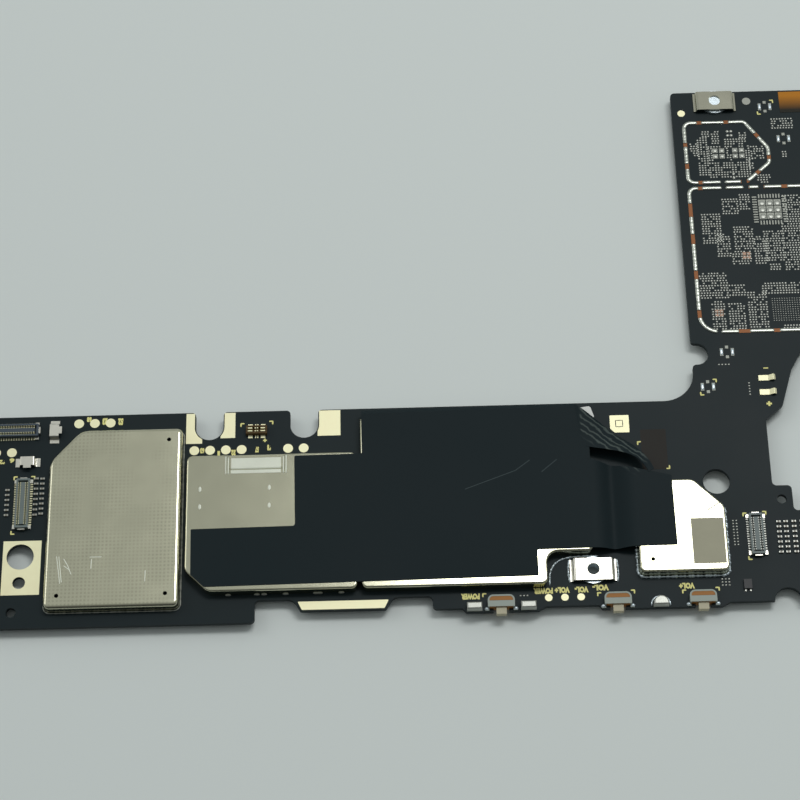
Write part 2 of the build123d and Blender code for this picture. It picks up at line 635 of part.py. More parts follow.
def key_frame(x):
    """Metal band round three sides of a key, with a lid and two soldered ears."""
    w, d, t = KEY_W / 2, KEY_D, KEY_BAND
    back, front = KEY_BACK_Y, KEY_BACK_Y - KEY_D
    path = [(-w + t / 2, front), (-w + t / 2, back - t / 2), (w - t / 2, back - t / 2), (w - t / 2, front)]
    band = prism(ribbon(path, t, KEY_BACK_R), TOP, KEY_H - TOP)
    for side in (-1, 1):
        band += block((side * KEY_EAR_X, front - KEY_EAR[1] / 2 + KEY_CLEAR), KEY_EAR, TOP)
    lid = box(-w + t, w - t, front, front + KEY_LID_D, KEY_H - KEY_LID_T, KEY_H)
    return Pos(x, 0, 0) * (band + lid)


def key_body(x):
    """Moulded body of a key, open at the front for the plunger, with a pocket for the dome."""
    half = KEY_W / 2 - KEY_BAND
    back, front = KEY_BACK_Y - KEY_BAND, KEY_BACK_Y - KEY_D
    low, high = BODY_LIFT, KEY_H - KEY_LID_T
    r = KEY_BACK_R - KEY_BAND / 2
    plan = outline([(-half, front, 0), (half, front, 0), (half, back, r), (-half, back, r)])
    body = prism(plan, low, high - low)
    gap = PLUNGER_CLEAR
    z0, z1 = PLUNGER_Z - gap, PLUNGER_Z + PLUNGER_H + gap
    body -= box(-PLUNGER_W / 2 - gap, PLUNGER_W / 2 + gap, front - 1, back - KEY_BAND - DOME_T, z0, z1)
    head = PLUNGER_HEAD_W / 2 + gap
    body -= box(-head, head, front + KEY_BAND, back - KEY_BAND - DOME_T, z0, z1)
    pocket = Cylinder(DOME_D / 2 + gap, DOME_T)
    body -= Pos(0, back - KEY_BAND - DOME_T / 2, PLUNGER_Z + PLUNGER_H / 2) * Rot(90, 0, 0) * pocket
    ridge = prism(plan, high, KEY_RIDGE_T) - box(-half, half, front, front + KEY_LID_D + gap, 0, 9)
    return Pos(x, 0, 0) * (body + ridge)


def key_plunger(x):
    """Plunger with a shoulder that keeps it in the body."""
    front = KEY_BACK_Y - KEY_D
    z = PLUNGER_Z
    head_y = front + KEY_BAND + PLUNGER_CLEAR
    stem = box(-PLUNGER_W / 2, PLUNGER_W / 2, front - PLUNGER_OUT, head_y + 0.1, z, z + PLUNGER_H)
    stem = fillet(stem.faces().sort_by(Axis.Y)[0].edges(), 0.15)
    head = PLUNGER_HEAD_W / 2
    head_back = KEY_BACK_Y - 2 * KEY_BAND - DOME_T - KEY_TRAVEL - PLUNGER_CLEAR
    return Pos(x, 0, 0) * (stem + box(-head, head, head_y, head_back, z, z + PLUNGER_H))


def key_domes():
    """Snap domes behind the plungers."""
    y = KEY_BACK_Y - 2 * KEY_BAND - DOME_T
    z = PLUNGER_Z + PLUNGER_H / 2
    return [Pos(x, y + DOME_T / 2, z) * Rot(90, 0, 0) * Cylinder(DOME_D / 2, DOME_T) for x in KEYS_X.values()]


def edge_stops():
    """Three small metal blocks on the edge beside the keys. The last has a round back."""
    stops = [block((x, STOP_Y), (STOP_W, STOP_D, STOP_H), TOP) for x in STOPS_X]
    front, r = STOP_Y - STOP_D / 2, STOP_W / 2
    y = front + ROUND_STOP_FRONT
    plan = Pos(ROUND_STOP_X, y) * (Circle(r) - Pos(0, -r) * Rectangle(3 * r, 2 * r))
    plan += Pos(ROUND_STOP_X, (front + y) / 2) * Rectangle(STOP_W, ROUND_STOP_FRONT)
    stops.append(prism(plan, TOP, STOP_H))
    return [fillet(stop.edges().group_by(Axis.Z)[-1], STOP_R) for stop in stops]


# ---------------------------------------------------------------- connectors


def connector_housing(count):
    """Moulded receptacle: a tray with a tongue along its middle."""
    length = (count - 1) * CONTACT_PITCH + 2 * CONNECTOR_END
    w, h, wall = CONNECTOR_W, CONNECTOR_H, CONNECTOR_WALL
    tray = fillet(Box(length, w, h).edges().filter_by(Axis.Z), wall / 2)
    well = Pos(0, 0, CONNECTOR_FLOOR) * Box(length - 2 * CONNECTOR_END + 3 * wall, w - 2 * wall, h)
    tongue_length = length - 2 * CONNECTOR_END + wall
    tongue = Pos(0, 0, -CONTACT_T / 2) * Box(tongue_length, CONNECTOR_TONGUE_W, h - CONTACT_T)
    return Pos(0, 0, h / 2) * (tray - well + tongue)


def connector_contacts(count):
    """Soldered tails along both sides, and blades on the side walls and on the tongue."""
    tall = CONNECTOR_H - CONNECTOR_FLOOR - CONTACT_T
    blade = (CONTACT_W, CONTACT_T, tall)
    tail = (CONTACT_W, CONTACT_TAIL, CONTACT_T)
    pieces = []
    for x in centred(count, CONTACT_PITCH):
        for side in (-1, 1):
            pieces.append(block((x, side * (CONNECTOR_W + CONTACT_TAIL) / 2), tail, 0))
            wall_y = CONNECTOR_W / 2 - CONNECTOR_WALL - CONTACT_T / 2
            pieces.append(block((x, side * wall_y), blade, CONNECTOR_FLOOR))
            pieces.append(block((x, side * (CONNECTOR_TONGUE_W + CONTACT_T) / 2), blade, CONNECTOR_FLOOR))
    return pieces


def connector_tabs(count):
    """Metal plate and two soldered ears at each end."""
    end = (count - 1) * CONTACT_PITCH / 2 + CONNECTOR_END
    tabs = []
    for side in (-1, 1):
        tabs.append(block((side * (end + CONNECTOR_CAP[0] / 2), 0), CONNECTOR_CAP, 0))
        ear_x = side * (end - CONNECTOR_EAR[0] / 2)
        ear_y = (CONNECTOR_W + CONNECTOR_EAR[1]) / 2
        tabs += [block((ear_x, y), CONNECTOR_EAR, 0) for y in (-ear_y, ear_y)]
    return tabs


def connectors():
    """Housing, contacts and tabs of each board-to-board connector."""
    made = {}
    for name, ((x, y), angle, count) in CONNECTORS.items():
        place = Pos(x, y, TOP) * Rot(0, 0, angle)
        made[f"{name}_housing"] = place * connector_housing(count)
        made[f"{name}_contacts"] = [place * piece for piece in connector_contacts(count)]
        made[f"{name}_tabs"] = [place * piece for piece in connector_tabs(count)]
    return made


def blade_row():
    """Place and width of each blade in one row of the battery connector."""
    wide, pin = (BATTERY_BLADE_X, BATTERY_BLADE_W), (BATTERY_PIN_X, BATTERY_PIN_W)
    return [(side * x, width) for side in (-1, 1) for x, width in (wide, pin)]


def battery_connector():
    """Battery receptacle: a body with a well, and power blades with signal pins between them."""
    x, y = BATTERY_AT
    w, d, h = BATTERY_SIZE
    well = (w - 2 * BATTERY_WELL, d - 2 * BATTERY_WELL, h)
    body = block((x, y), (w, d, h), TOP) - block((x, y), well, TOP + BATTERY_WELL)
    blades = []
    for side in (-1, 1):
        for dx, width in blade_row():
            tail_y, blade_y = y + side * (d + BATTERY_TAIL) / 2, y + side * BATTERY_BLADE_Y
            blade = (width, BATTERY_BLADE_T, h - BATTERY_WELL)
            blades.append(block((x + dx, tail_y), (width, BATTERY_TAIL, CONTACT_T), TOP))
            blades.append(block((x + dx, blade_y), blade, TOP + BATTERY_WELL))
    return {"battery_connector_body": body, "battery_connector_blades": blades}


# ---------------------------------------------------------------- springs and small parts


def antenna_springs():
    """Bridge-shaped earthing springs beside the left can, each with a side ear."""
    springs = {}
    for name, ((x, y), angle) in CLIPS_AT.items():
        spring = bridge(CLIP_ROOF, CLIP_FOOT, CLIP_DEPTH, CLIP_H, SPRING_T, CLIP_BEND_R, CLIP_LEAN)
        ear_y = SPRING_T - (CLIP_DEPTH + CLIP_EAR[1]) / 2
        spring += block((0, ear_y), CLIP_EAR, CLIP_H - SPRING_T)
        springs[name] = Pos(x, y, TOP) * Rot(0, 0, angle) * spring
    return springs


def speaker_springs():
    """Two low contact springs for the speaker: a flat foot and a finger that rises from it and turns down."""
    x, t, h = SPEAKER_LENGTH / 2, SPRING_T, SPEAKER_H
    path = [(-x, t / 2), (x * SPEAKER_KNEE, t / 2), (x * SPEAKER_CREST, h - t / 2), (x, h / 2)]
    finger = extrude(Plane.XZ * ribbon(path, t, SPRING_BEND_R), SPEAKER_W / 2, both=True)
    return [Pos(*at, TOP) * finger for at in SPEAKERS_AT]


def hall_sensor():
    """Small moulded sensor."""
    return block(SENSOR_AT, SENSOR_SIZE, TOP)


def chip_places():
    """Places of the chip resistors and capacitors beside the connectors."""
    return [at for start in CHIP_COLUMNS for at in column(*start)]


def chip_parts():
    """Bare bodies of the chip parts."""
    return [block(at, CHIP_SIZE, TOP) for at in chip_places()]


def chip_ends():
    """Tinned ends of the chip parts, and the sensor's two legs."""
    w, d, h = CHIP_SIZE
    step = (w + CHIP_END) / 2
    end = (CHIP_END, d, h)
    ends = [block((x + side * step, y), end, TOP) for x, y in chip_places() for side in (-1, 1)]
    x, y = SENSOR_AT
    leg_y = y - (SENSOR_SIZE[1] + SENSOR_LEG[1]) / 2
    return ends + [block((x + side * SENSOR_LEG_X, leg_y), SENSOR_LEG, TOP) for side in (-1, 1)]


# ---------------------------------------------------------------- arm


def upper_loop():
    """Centre line corners of the upper can footprint on the arm."""
    (x0, x1), (y0, y1) = UPPER_LOOP_X, UPPER_LOOP_Y
    (low_x, low_y), (high_x, high_y) = UPPER_LOOP_CUTS
    right = [(x1 - low_x, y0, 0.6), (x1, y0 + low_y, 1.2), (x1, y1 - high_y, 1.2), (x1 - high_x, y1, 0.9)]
    return [(x0, y0, LOOP_R)] + right + [(x0, y1, LOOP_R)]


def lower_loop():
    """Centre line corners of the lower can footprint on the arm."""
    (x0, x1), (y0, y1) = LOWER_LOOP_X, LOWER_LOOP_Y
    return [(x0, y0, LOWER_LOOP_R), (x1, y0, LOOP_R), (x1, y1, LOOP_R), (x0, y1, LOOP_R)]


def track(corners, width):
    """Closed band of a given width along a loop."""
    face = outline(corners)
    return offset(face, width / 2) - offset(face, -width / 2)


def can_tracks():
    """Copper footprint tracks of the two cans that the arm is made to take."""
    (x0, _), (y0, _) = UPPER_LOOP_X, UPPER_LOOP_Y
    upper = prism(track(upper_loop(), TRACK_W), TOP, TRACK_T)
    for x in UPPER_GAPS:
        upper -= block((x0 + x, y0), (TRACK_GAP, 2 * TRACK_W, 1), TOP - 0.5)
    (x0, _), (y0, y1) = LOWER_LOOP_X, LOWER_LOOP_Y
    lower = prism(track(lower_loop(), TRACK_W), TOP, TRACK_T)
    for x, y in [(x, y1) for x in LOWER_GAPS] + [(LOWER_FOOT_GAP, y0)]:
        lower -= block((x0 + x, y), (TRACK_GAP, 2 * TRACK_W, 1), TOP - 0.5)
    return {"arm_track_upper": upper.solids(), "arm_track_lower": lower.solids()}


def tinned_lands():
    """Tinned lands on the arm: one quad-flat footprint, two groups of four, coaxial lands and a round one."""
    cx, cy = THERMAL_AT
    across, up = PIN_RING
    long, short = PIN_PAD
    grid, square = (-THERMAL_PITCH, 0, THERMAL_PITCH), (THERMAL_PAD, THERMAL_PAD, TIN_T)
    lands = [block((cx + dx, cy + dy), square, TOP) for dx in grid for dy in grid]
    for side in (-1, 1):
        for dy in centred(11, PIN_PITCH):
            lands.append(block((cx + side * across / 2, cy + dy), (long, short, TIN_T), TOP))
        for dx in centred(8, PIN_PITCH):
            lands.append(block((cx + dx, cy + side * up / 2), (short, long, TIN_T), TOP))
    for x, y in QUADS_AT:
        quad, h = (QUAD_PAD, QUAD_PAD, TIN_T), QUAD_PITCH / 2
        lands += [block((x + dx, y + dy), quad, TOP) for dx in (-h, h) for dy in (-h, h)]
    w, d = COAX_LAND
    for x, y in COAX_AT:
        for side in (-COAX_SPAN / 2, COAX_SPAN / 2):
            lands += [block((x + side, y), (w, d, TIN_T), TOP), block((x, y + side), (w, w, TIN_T), TOP)]
    return lands + [disc(*ROUND_LAND, TOP, TIN_T)]


def film_patch():
    """Patch of amber polyimide film over the corner of the arm."""
    x0, x1, y0, y1 = FILM
    return box(x0, x1, y0, y1, TOP, TOP + FILM_T)


# ---------------------------------------------------------------- inside the cans


def inner_chips():
    """Packages that sit on the board inside the cans, the memory on the processor, and its thermal pad."""
    made = {}
    for name, ((x0, x1, y0, y1), w, d, h, (dx, dy)) in INNER.items():
        made[name] = block(((x0 + x1) / 2 + dx, (y0 + y1) / 2 + dy), (w, d, h), TOP)
    x0, x1, y0, y1 = MAIN_CAN
    _, _, _, under, (dx, dy) = INNER["processor"]
    at = (x0 + x1) / 2 + dx, (y0 + y1) / 2 + dy
    made["memory_stack"] = block(at, MEMORY, TOP + under)
    low = TOP + under + MEMORY[2]
    made["thermal_pad"] = block(at, (THERMAL_SHEET, THERMAL_SHEET, LID - CAN_T - low), low)
    return made


# ---------------------------------------------------------------- write


def nodes():
    """Every node as name -> solid or list of solids."""
    made = {
        "circuit_board": circuit_board(),
        "earth_lands": earth_lands(),
        "test_pads": test_pads(),
        "shield_can_left": shield_can_left(),
        "shield_can_middle": shield_can_middle(),
        "shield_can_main": shield_can_main(),
        "shield_can_right": shield_can_right(),
        "can_solder": can_solder(),
        "heat_tape": heat_tape(),
        "tape_liner": tape_liner(),
        "absorber_pad": absorber_pad(),
        "screw_inserts": screw_inserts(),
        "key_domes": key_domes(),
        "edge_stops": edge_stops(),
        "speaker_springs": speaker_springs(),
        "hall_sensor": hall_sensor(),
        "chip_parts": chip_parts(),
        "chip_ends": chip_ends(),
        "tinned_lands": tinned_lands(),
        "film_patch": film_patch(),
    }
    for key, x in KEYS_X.items():
        made[f"{key}_key_frame"] = key_frame(x)
        made[f"{key}_key_body"] = key_body(x)
        made[f"{key}_key_plunger"] = key_plunger(x)
    for group in (under_cans(), nut_brackets(), connectors(), battery_connector(), antenna_springs()):
        made |= group
    return made | can_tracks() | inner_chips()


def write(name, shape):
    """Write one node, as a group when it is a list of separate solids."""
    if isinstance(shape, list):
        shape = Compound(children=[Part(piece.wrapped) for piece in shape])
    export_step(shape, f"parts/{name}.step")


if __name__ == "__main__":
    os.makedirs("parts", exist_ok=True)
    for node, shape in nodes().items():
        write(node, shape)
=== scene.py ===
"""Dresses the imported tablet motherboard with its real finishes, fine detail, a stage, lights and a camera."""

import json
from math import cos, pi, radians, sin

import bpy
import numpy as np
from mathutils import Matrix, Vector


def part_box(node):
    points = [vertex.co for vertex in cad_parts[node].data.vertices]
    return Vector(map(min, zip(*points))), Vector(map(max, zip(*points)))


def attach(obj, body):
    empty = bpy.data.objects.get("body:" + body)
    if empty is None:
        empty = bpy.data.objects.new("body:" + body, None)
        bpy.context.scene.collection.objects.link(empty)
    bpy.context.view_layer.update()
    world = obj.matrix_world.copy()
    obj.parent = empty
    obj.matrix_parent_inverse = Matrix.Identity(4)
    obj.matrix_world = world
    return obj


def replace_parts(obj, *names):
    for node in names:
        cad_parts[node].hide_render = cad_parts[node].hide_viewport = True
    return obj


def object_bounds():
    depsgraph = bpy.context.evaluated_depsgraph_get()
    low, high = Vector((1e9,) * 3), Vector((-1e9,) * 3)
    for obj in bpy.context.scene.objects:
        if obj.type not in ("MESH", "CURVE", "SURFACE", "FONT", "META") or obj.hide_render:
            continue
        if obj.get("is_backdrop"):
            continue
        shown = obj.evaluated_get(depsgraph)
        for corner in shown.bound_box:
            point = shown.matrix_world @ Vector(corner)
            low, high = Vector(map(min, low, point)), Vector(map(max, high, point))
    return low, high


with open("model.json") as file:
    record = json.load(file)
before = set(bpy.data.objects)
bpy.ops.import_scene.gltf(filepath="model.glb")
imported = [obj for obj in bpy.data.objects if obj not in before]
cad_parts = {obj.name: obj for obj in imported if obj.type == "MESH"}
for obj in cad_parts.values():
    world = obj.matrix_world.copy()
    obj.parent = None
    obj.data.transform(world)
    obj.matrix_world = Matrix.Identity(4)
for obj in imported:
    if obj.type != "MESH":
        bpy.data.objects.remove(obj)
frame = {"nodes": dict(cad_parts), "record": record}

bl_info = {
    "name": "Tablet motherboard dress",
    "version": (1, 0, 0),
    "blender": (4, 5, 0),
    "location": "3D View > Sidebar > Motherboard",
    "description": "Finishes, fine detail and a stage for a tablet motherboard",
    "category": "Object",
}

MM = 0.001


def linear(colour):
    """Scene-linear red, green and blue of an sRGB hex colour."""
    values = np.array([int(colour[i : i + 2], 16) for i in (1, 3, 5)]) / 255
    return tuple(np.where(values <= 0.04045, values / 12.92, ((values + 0.055) / 1.055) ** 2.4).tolist())


# ---------------------------------------------------------------- settings


def colour_property(name, description, colour):
    """Colour setting with an sRGB hex colour as its default."""
    return bpy.props.FloatVectorProperty(
        name=name, description=description, subtype="COLOR", size=3, min=0, max=1, default=linear(colour)
    )


def length_property(name, description, mm):
    """Length setting with its default given in millimetres."""
    return bpy.props.FloatProperty(
        name=name, description=description, unit="LENGTH", min=0, default=mm * MM, precision=5
    )


class BOARD_PG_finishes(bpy.types.PropertyGroup):
    """Colours that a user would change."""

    mask: colour_property("Solder mask", "Near-black lacquer over the copper", "#142225")
    gold: colour_property("Gold plating", "Pale immersion gold on lands and pads", "#FFF6CC")
    nickel: colour_property("Nickel silver", "Sheet of the shield cans", "#CDCBB2")
    tape: colour_property("Heat tape", "Satin film on top of the graphite", "#0F1F23")
    copper: colour_property("Copper", "Bare copper of the loops on the arm", "#8F5628")
    floor: colour_property("Floor", "Pale table top", "#E6EDEA")


class BOARD_PG_detail(bpy.types.PropertyGroup):
    """Sizes of the fine detail."""

    bead_width: length_property("Bead width", "Solder beads of the can footprints on the arm", 0.72)
    bead_height: length_property("Bead height", "Height of those beads over the board", 0.2)
    dot_size: length_property("Dot size", "Side of a tinned land for a small chip part", 0.3)
    dot_height: length_property("Dot height", "Height of the solder on such a land", 0.09)
    letter_height: length_property("Letter height", "Height of the printed letters", 1.0)


class BOARD_PG_stage(bpy.types.PropertyGroup):
    """Sizes and strengths of the stage."""

    floor_size: bpy.props.FloatProperty(
        name="Floor size", description="Side of the square floor", unit="LENGTH", default=4.0
    )
    sky: bpy.props.FloatProperty(
        name="Room light", description="Strength of the even light of the room", min=0, default=0.5
    )
    panel_power: bpy.props.FloatProperty(
        name="Panel power", description="Power of the overhead panel", unit="POWER", default=2.2
    )
    lens: bpy.props.FloatProperty(
        name="Lens", description="Focal length on a 36 mm sensor", subtype="DISTANCE_CAMERA", default=104.35
    )


# ---------------------------------------------------------------- how a finish is built

CLOUD = 25  # grains across one cloud of the slow wander in tone and gloss
PLAIN = {"Specular IOR Level": 0.2}  # a surface whose grain scatters most of the mirror light
CREASE_PITCH = 0.9  # between the crease lines of the torn tape, in mm
PATCH = 7  # size of the patches in which a weave is worn away, in mm


def add(tree, kind, settings=None, links=None):
    """Adds one shader node, sets its inputs and properties, and feeds the named inputs.

    A Mix node of colours has its factor at input 0, its colours at 6 and 7, and its result at output 2.
    """
    node = tree.nodes.new("ShaderNode" + kind)
    for key, value in (settings or {}).items():
        if isinstance(key, int) or key in node.inputs:
            node.inputs[key].default_value = value
        else:
            setattr(node, key, value)
    for key, socket in (links or {}).items():
        tree.links.new(socket, node.inputs[key])
    return node


def opaque(colour):
    """Colour with full alpha."""
    return (*colour[:3], 1.0)


def shaded(colour, share):
    """Colour scaled by share, with full alpha."""
    return (*[min(c * share, 1.0) for c in colour[:3]], 1.0)


def grained(
    name, colour, roughness, grain_mm, relief_mm, metallic=0.0, spread=0.12, rough_spread=0.06, weave_shade_mm=0,
    **shader,
):
    """Material with a grain of a real size and a wandering tone and gloss, with optional painted shade in the
    furrows of a weave.
    """
    made = bpy.data.materials.new(name)
    made.use_nodes = True
    tree = made.node_tree
    tree.nodes.clear()
    place = add(tree, "TexCoord").outputs["Object"]
    fine = {"Scale": 1 / (grain_mm * MM), "Detail": 3.0, "Roughness": 0.6}
    grain = add(tree, "TexNoise", fine, {"Vector": place}).outputs["Fac"]
    slow = {"Scale": 1 / (CLOUD * grain_mm * MM), "Detail": 4.0}
    cloud = add(tree, "TexNoise", slow, {"Vector": place}).outputs["Fac"]
    tones = {"data_type": "RGBA", 6: shaded(colour, 1 - spread), 7: shaded(colour, 1 + spread)}
    tone = add(tree, "Mix", tones, {0: cloud}).outputs[2]
    if weave_shade_mm:
        tone = painted_weave_shade(tree, tone, place, weave_shade_mm)
    limits = {"To Min": roughness - rough_spread, "To Max": roughness + rough_spread}
    gloss = add(tree, "MapRange", limits, {"Value": cloud}).outputs["Result"]
    relief = add(tree, "Bump", {"Strength": 1.0, "Distance": relief_mm * MM}, {"Height": grain})
    fed = {"Base Color": tone, "Roughness": gloss, "Normal": relief.outputs["Normal"]}
    surface = add(tree, "BsdfPrincipled", {"Metallic": metallic, **shader}, fed)
    add(tree, "OutputMaterial", links={"Surface": surface.outputs["BSDF"]})
    return made


def bands(pitch_mm):
    """Scale of a Wave node whose bands repeat every pitch: it repeats every pi / (10 * scale)."""
    return pi / (10 * pitch_mm * MM)


def painted_weave_shade(tree, tone, place, pitch_mm):
    """Paints shade into the furrows of a weave, two sine waves along X and Y, and less of it in worn patches.
    """
    rows = []
    for way in "XY":
        wave = {"bands_direction": way, "Scale": bands(pitch_mm), "Distortion": 0.6, "Detail": 1.0}
        rows.append(add(tree, "TexWave", wave, {"Vector": place}).outputs["Fac"])
    both = add(tree, "Math", {"operation": "MULTIPLY"}, {0: rows[0], 1: rows[1]}).outputs["Value"]
    patchy = add(tree, "TexNoise", {"Scale": 1 / (PATCH * MM)}, {"Vector": place})
    worn = add(tree, "MapRange", {"From Min": 0.38, "From Max": 0.66}, {"Value": patchy.outputs["Fac"]})
    depth = add(tree, "Math", {"operation": "MULTIPLY"}, {0: both, 1: worn.outputs["Result"]})
    # painted shade: the furrows of the weave are darkened by colour
    furrow_shade = {"data_type": "RGBA", "blend_type": "MULTIPLY", 7: (0.8, 0.8, 0.79, 1)}
    return add(tree, "Mix", furrow_shade, {0: depth.outputs["Value"], 6: tone}).outputs[2]


def overlaid(made, colour, share):
    """Lays a colour over the tone of a finish by a share, a socket of its own tree."""
    tree = made.node_tree
    surface = next(node for node in tree.nodes if node.type == "BSDF_PRINCIPLED")
    tone = surface.inputs["Base Color"].links[0].from_socket
    mixed = add(tree, "Mix", {"data_type": "RGBA", 7: opaque(colour)}, {0: share, 6: tone})
    tree.links.new(mixed.outputs[2], surface.inputs["Base Color"])
    return made


def crease_highlighted(made, colour, turn, start_mm, end_mm, edge_mm):
    """Painted highlights as pale crease lines: the crests of a distorted wave in axes turned about Z.

    They come in past start along X, past edge along the turned Y, and go out before end along the turned X.
    """
    tree = made.node_tree
    place = add(tree, "TexCoord").outputs["Object"]
    turned = add(tree, "Mapping", {"Rotation": (0, 0, turn)}, {"Vector": place}).outputs["Vector"]
    crumpled = {"Distortion": 4.0, "Detail": 4.0, "Detail Scale": 2.0}
    wave = {"bands_direction": "Y", "Scale": bands(CREASE_PITCH), **crumpled}
    crests = add(tree, "TexWave", wave, {"Vector": turned}).outputs["Fac"]
    share = add(tree, "MapRange", {"From Min": 0.6, "From Max": 1.0}, {"Value": crests}).outputs["Result"]
    level, tilted = add(tree, "SeparateXYZ", links={0: place}), add(tree, "SeparateXYZ", links={0: turned})
    for value, outside, inside in (
        (level.outputs["X"], start_mm, start_mm + 0.3),
        (tilted.outputs["X"], end_mm, end_mm - 1.5),
        (tilted.outputs["Y"], edge_mm, edge_mm + 0.8),
    ):
        ramp = add(tree, "MapRange", {"From Min": outside * MM, "From Max": inside * MM}, {"Value": value})
        both = {0: share, 1: ramp.outputs["Result"]}
        share = add(tree, "Math", {"operation": "MULTIPLY"}, both).outputs["Value"]
    return overlaid(made, colour, share)


def faded(made, colour, low_y, high_y):
    """Fades a finish to another colour from high Y to low Y."""
    tree = made.node_tree
    split = add(tree, "SeparateXYZ", links={0: add(tree, "TexCoord").outputs["Object"]})
    ends = {"From Min": high_y * MM, "From Max": low_y * MM}
    share = add(tree, "MapRange", ends, {"Value": split.outputs["Y"]}).outputs["Result"]
    return overlaid(made, colour, share)


# ---------------------------------------------------------------- the board's finishes

# each is given by its name, colour, roughness, grain and relief in mm, and what it sets apart

CREASE_TURN = 0.707  # of the torn tape's crease lines, in radians
# where those lines start along X, and where they end and begin along and across the turned axes
CREASE_START, CREASE_END, CREASE_EDGE = -1.1, 13.21, -4.24  # mm from the main can's far right corner
FILM_FADE = (0.5, -0.8)  # ends of the film's fade, from its near and its far edge


def sheet_finishes(settings):
    """Cans, brackets and springs of sheet metal."""
    nickel = settings.nickel
    return {
        # a warm mirror, slightly blurred, which turns from dark to white with the panel overhead
        "nickel_silver": grained(
            "nickel silver, rolled and drawn", nickel, 0.13, 0.16, 0.001, metallic=1.0, spread=0.05,
            rough_spread=0.02,
        ),
        # the same sheet, duller, with a cloth-like dimple whose furrows carry painted shade, worn off in
        # patches
        "nickel_with_weave_shade": grained(
            "nickel silver, rolled, with the press cloth's weave", nickel, 0.2, 0.16, 0.001, metallic=1.0,
            spread=0.07, rough_spread=0.03, weave_shade_mm=0.6,
        ),
        # pale, blotchy and matt, where the press rubbed, also on scratches and welds; on the window's ledge it
        # is partly, and on its rims wholly, a painted highlight, so it stays light where the sheet round it
        # goes dark
        "burnish_and_highlight": grained(
            "nickel silver, burnished, with painted highlights", linear("#DEE2D2"), 0.45, 0.3, 0.02, metallic=0.4,
            spread=0.25,
        ),
        # soft grey-white mirror of a bent strip
        "tin_plate": grained("tin-plated sheet, pressed", linear("#DAD8CC"), 0.3, 0.2, 0.003, metallic=1.0),
        # the same tin plate, sharper, and darker by painted shade, so that the upper bracket shows the room
        "shaded_mirror_plate": grained(
            "tin-plated sheet, sharper, painted darker", linear("#CBC8B4"), 0.14, 0.2, 0.0005, metallic=1.0,
            rough_spread=0.02,
        ),
        # even grey with no mirror image, on the small key frames
        "satin_plate": grained(
            "tin-plated sheet, satin", linear("#A3ABA3"), 0.6, 0.2, 0.003, metallic=0.25, **PLAIN
        ),
        # cool grey with a tight highlight
        "spring_steel": grained("spring steel, pressed", linear("#C8C8C8"), 0.25, 0.2, 0.002, metallic=1.0),
    }


def solder_finishes():
    """Solder as it sets on lands, walls and beads."""
    return {
        # bright, with highlights that break along a bead
        "solder": grained("tin solder, reflowed", linear("#BEC2B8"), 0.3, 0.4, 0.0015, metallic=1.0),
        # greyish dots that stay visible on the black from every side
        "dull_solder": grained(
            "tin solder over small lands, dull", linear("#B2B4AC"), 0.4, 0.25, 0.01, metallic=0.7
        ),
        # flat grey, between the mask and the bright beads
        "flat_solder": grained("tin solder, levelled", linear("#A3A69C"), 0.5, 0.25, 0.004, metallic=0.3),
        # bright solder tinted bluish white by a painted reflection, whose glints outline the can and the feet
        # of the keys
        "bluish_glint_solder": grained(
            "tin solder, flowed up a wall", linear("#DDEAF0"), 0.3, 0.25, 0.02, metallic=0.7
        ),
    }


def board_skin(settings):
    """Mask, gold, copper and ink of the bare board."""
    mask, gold, copper = settings.mask, settings.gold, settings.copper
    return {
        # near-black with a bluish cast and a faint mottle, so that the board isn't one flat tone
        "solder_mask": grained("solder mask, screen printed and cured", mask, 0.5, 0.6, 0.004, **PLAIN),
        # pale cream rather than yellow, with a soft sheen
        "gold_plating": grained("immersion gold over nickel", gold, 0.5, 0.12, 0.002, metallic=0.6),
        # reddish brown, the warmest tone on the board
        "copper": grained("bare copper, lightly tarnished", copper, 0.5, 0.2, 0.004, metallic=0.3),
        # pinkish pads between the grey ones
        "pale_copper": grained(
            "tinned copper, thin enough to look warm", linear("#B5947F"), 0.5, 0.2, 0.004, metallic=0.3
        ),
        # dull brownish black, a shade off the mask
        "printed_patch": grained("matt ink, overprinted", linear("#2C2A26"), 0.6, 0.5, 0.002, **PLAIN),
        # warm yellow letters that don't glint
        "legend_ink": grained("epoxy ink, screen printed", linear("#FFF2A0"), 0.6, 0.2, 0.002, **PLAIN),
    }


def film_finishes(settings):
    """Tape, film, liner and pads stuck on the board and the cans."""
    tape = grained("polyester film over graphite, satin", settings.tape, 0.62, 0.9, 0.004, **PLAIN)
    x, y, _ = far_corner("shield_can_main")
    along = x * cos(CREASE_TURN) - y * sin(CREASE_TURN) + CREASE_END
    across = x * sin(CREASE_TURN) + y * cos(CREASE_TURN) + CREASE_EDGE
    film = grained("polyimide film, cast", linear("#BE7A12"), 0.3, 0.5, 0.002, **PLAIN)
    near, far = (end[1] / MM + fade for end, fade in zip(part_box("film_patch"), FILM_FADE))
    return {
        # soft black, darker and smoother than the mask, with painted highlights as pale lines where the torn
        # corner is crumpled
        "graphite_tape": crease_highlighted(tape, linear("#4C5653"), CREASE_TURN, x + CREASE_START, along, across),
        # grey strokes that show pale on the black film, and on a lid a painted shade along a crease
        "grey_strokes_and_crease_shade": grained("grey strokes, painted crease shade", linear("#3A4648"), 0.6, 0.3, 0.002, **PLAIN),
        # amber, going dark towards its near edge
        "polyimide": faded(film, linear("#1C1A0C"), near, far),
        # plain off-white scrap
        "liner_paper": grained("siliconised release liner", linear("#E8EAE6"), 0.5, 0.2, 0.002),
        # matt khaki square, which never glints as the can under it does
        "absorber": grained("ferrite-filled absorber sheet", linear("#B0AD96"), 0.75, 0.15, 0.004),
        # soft grey, hidden under the main can
        "thermal_gel": grained("silicone thermal pad", linear("#9DA0A8"), 0.6, 0.2, 0.004),
    }


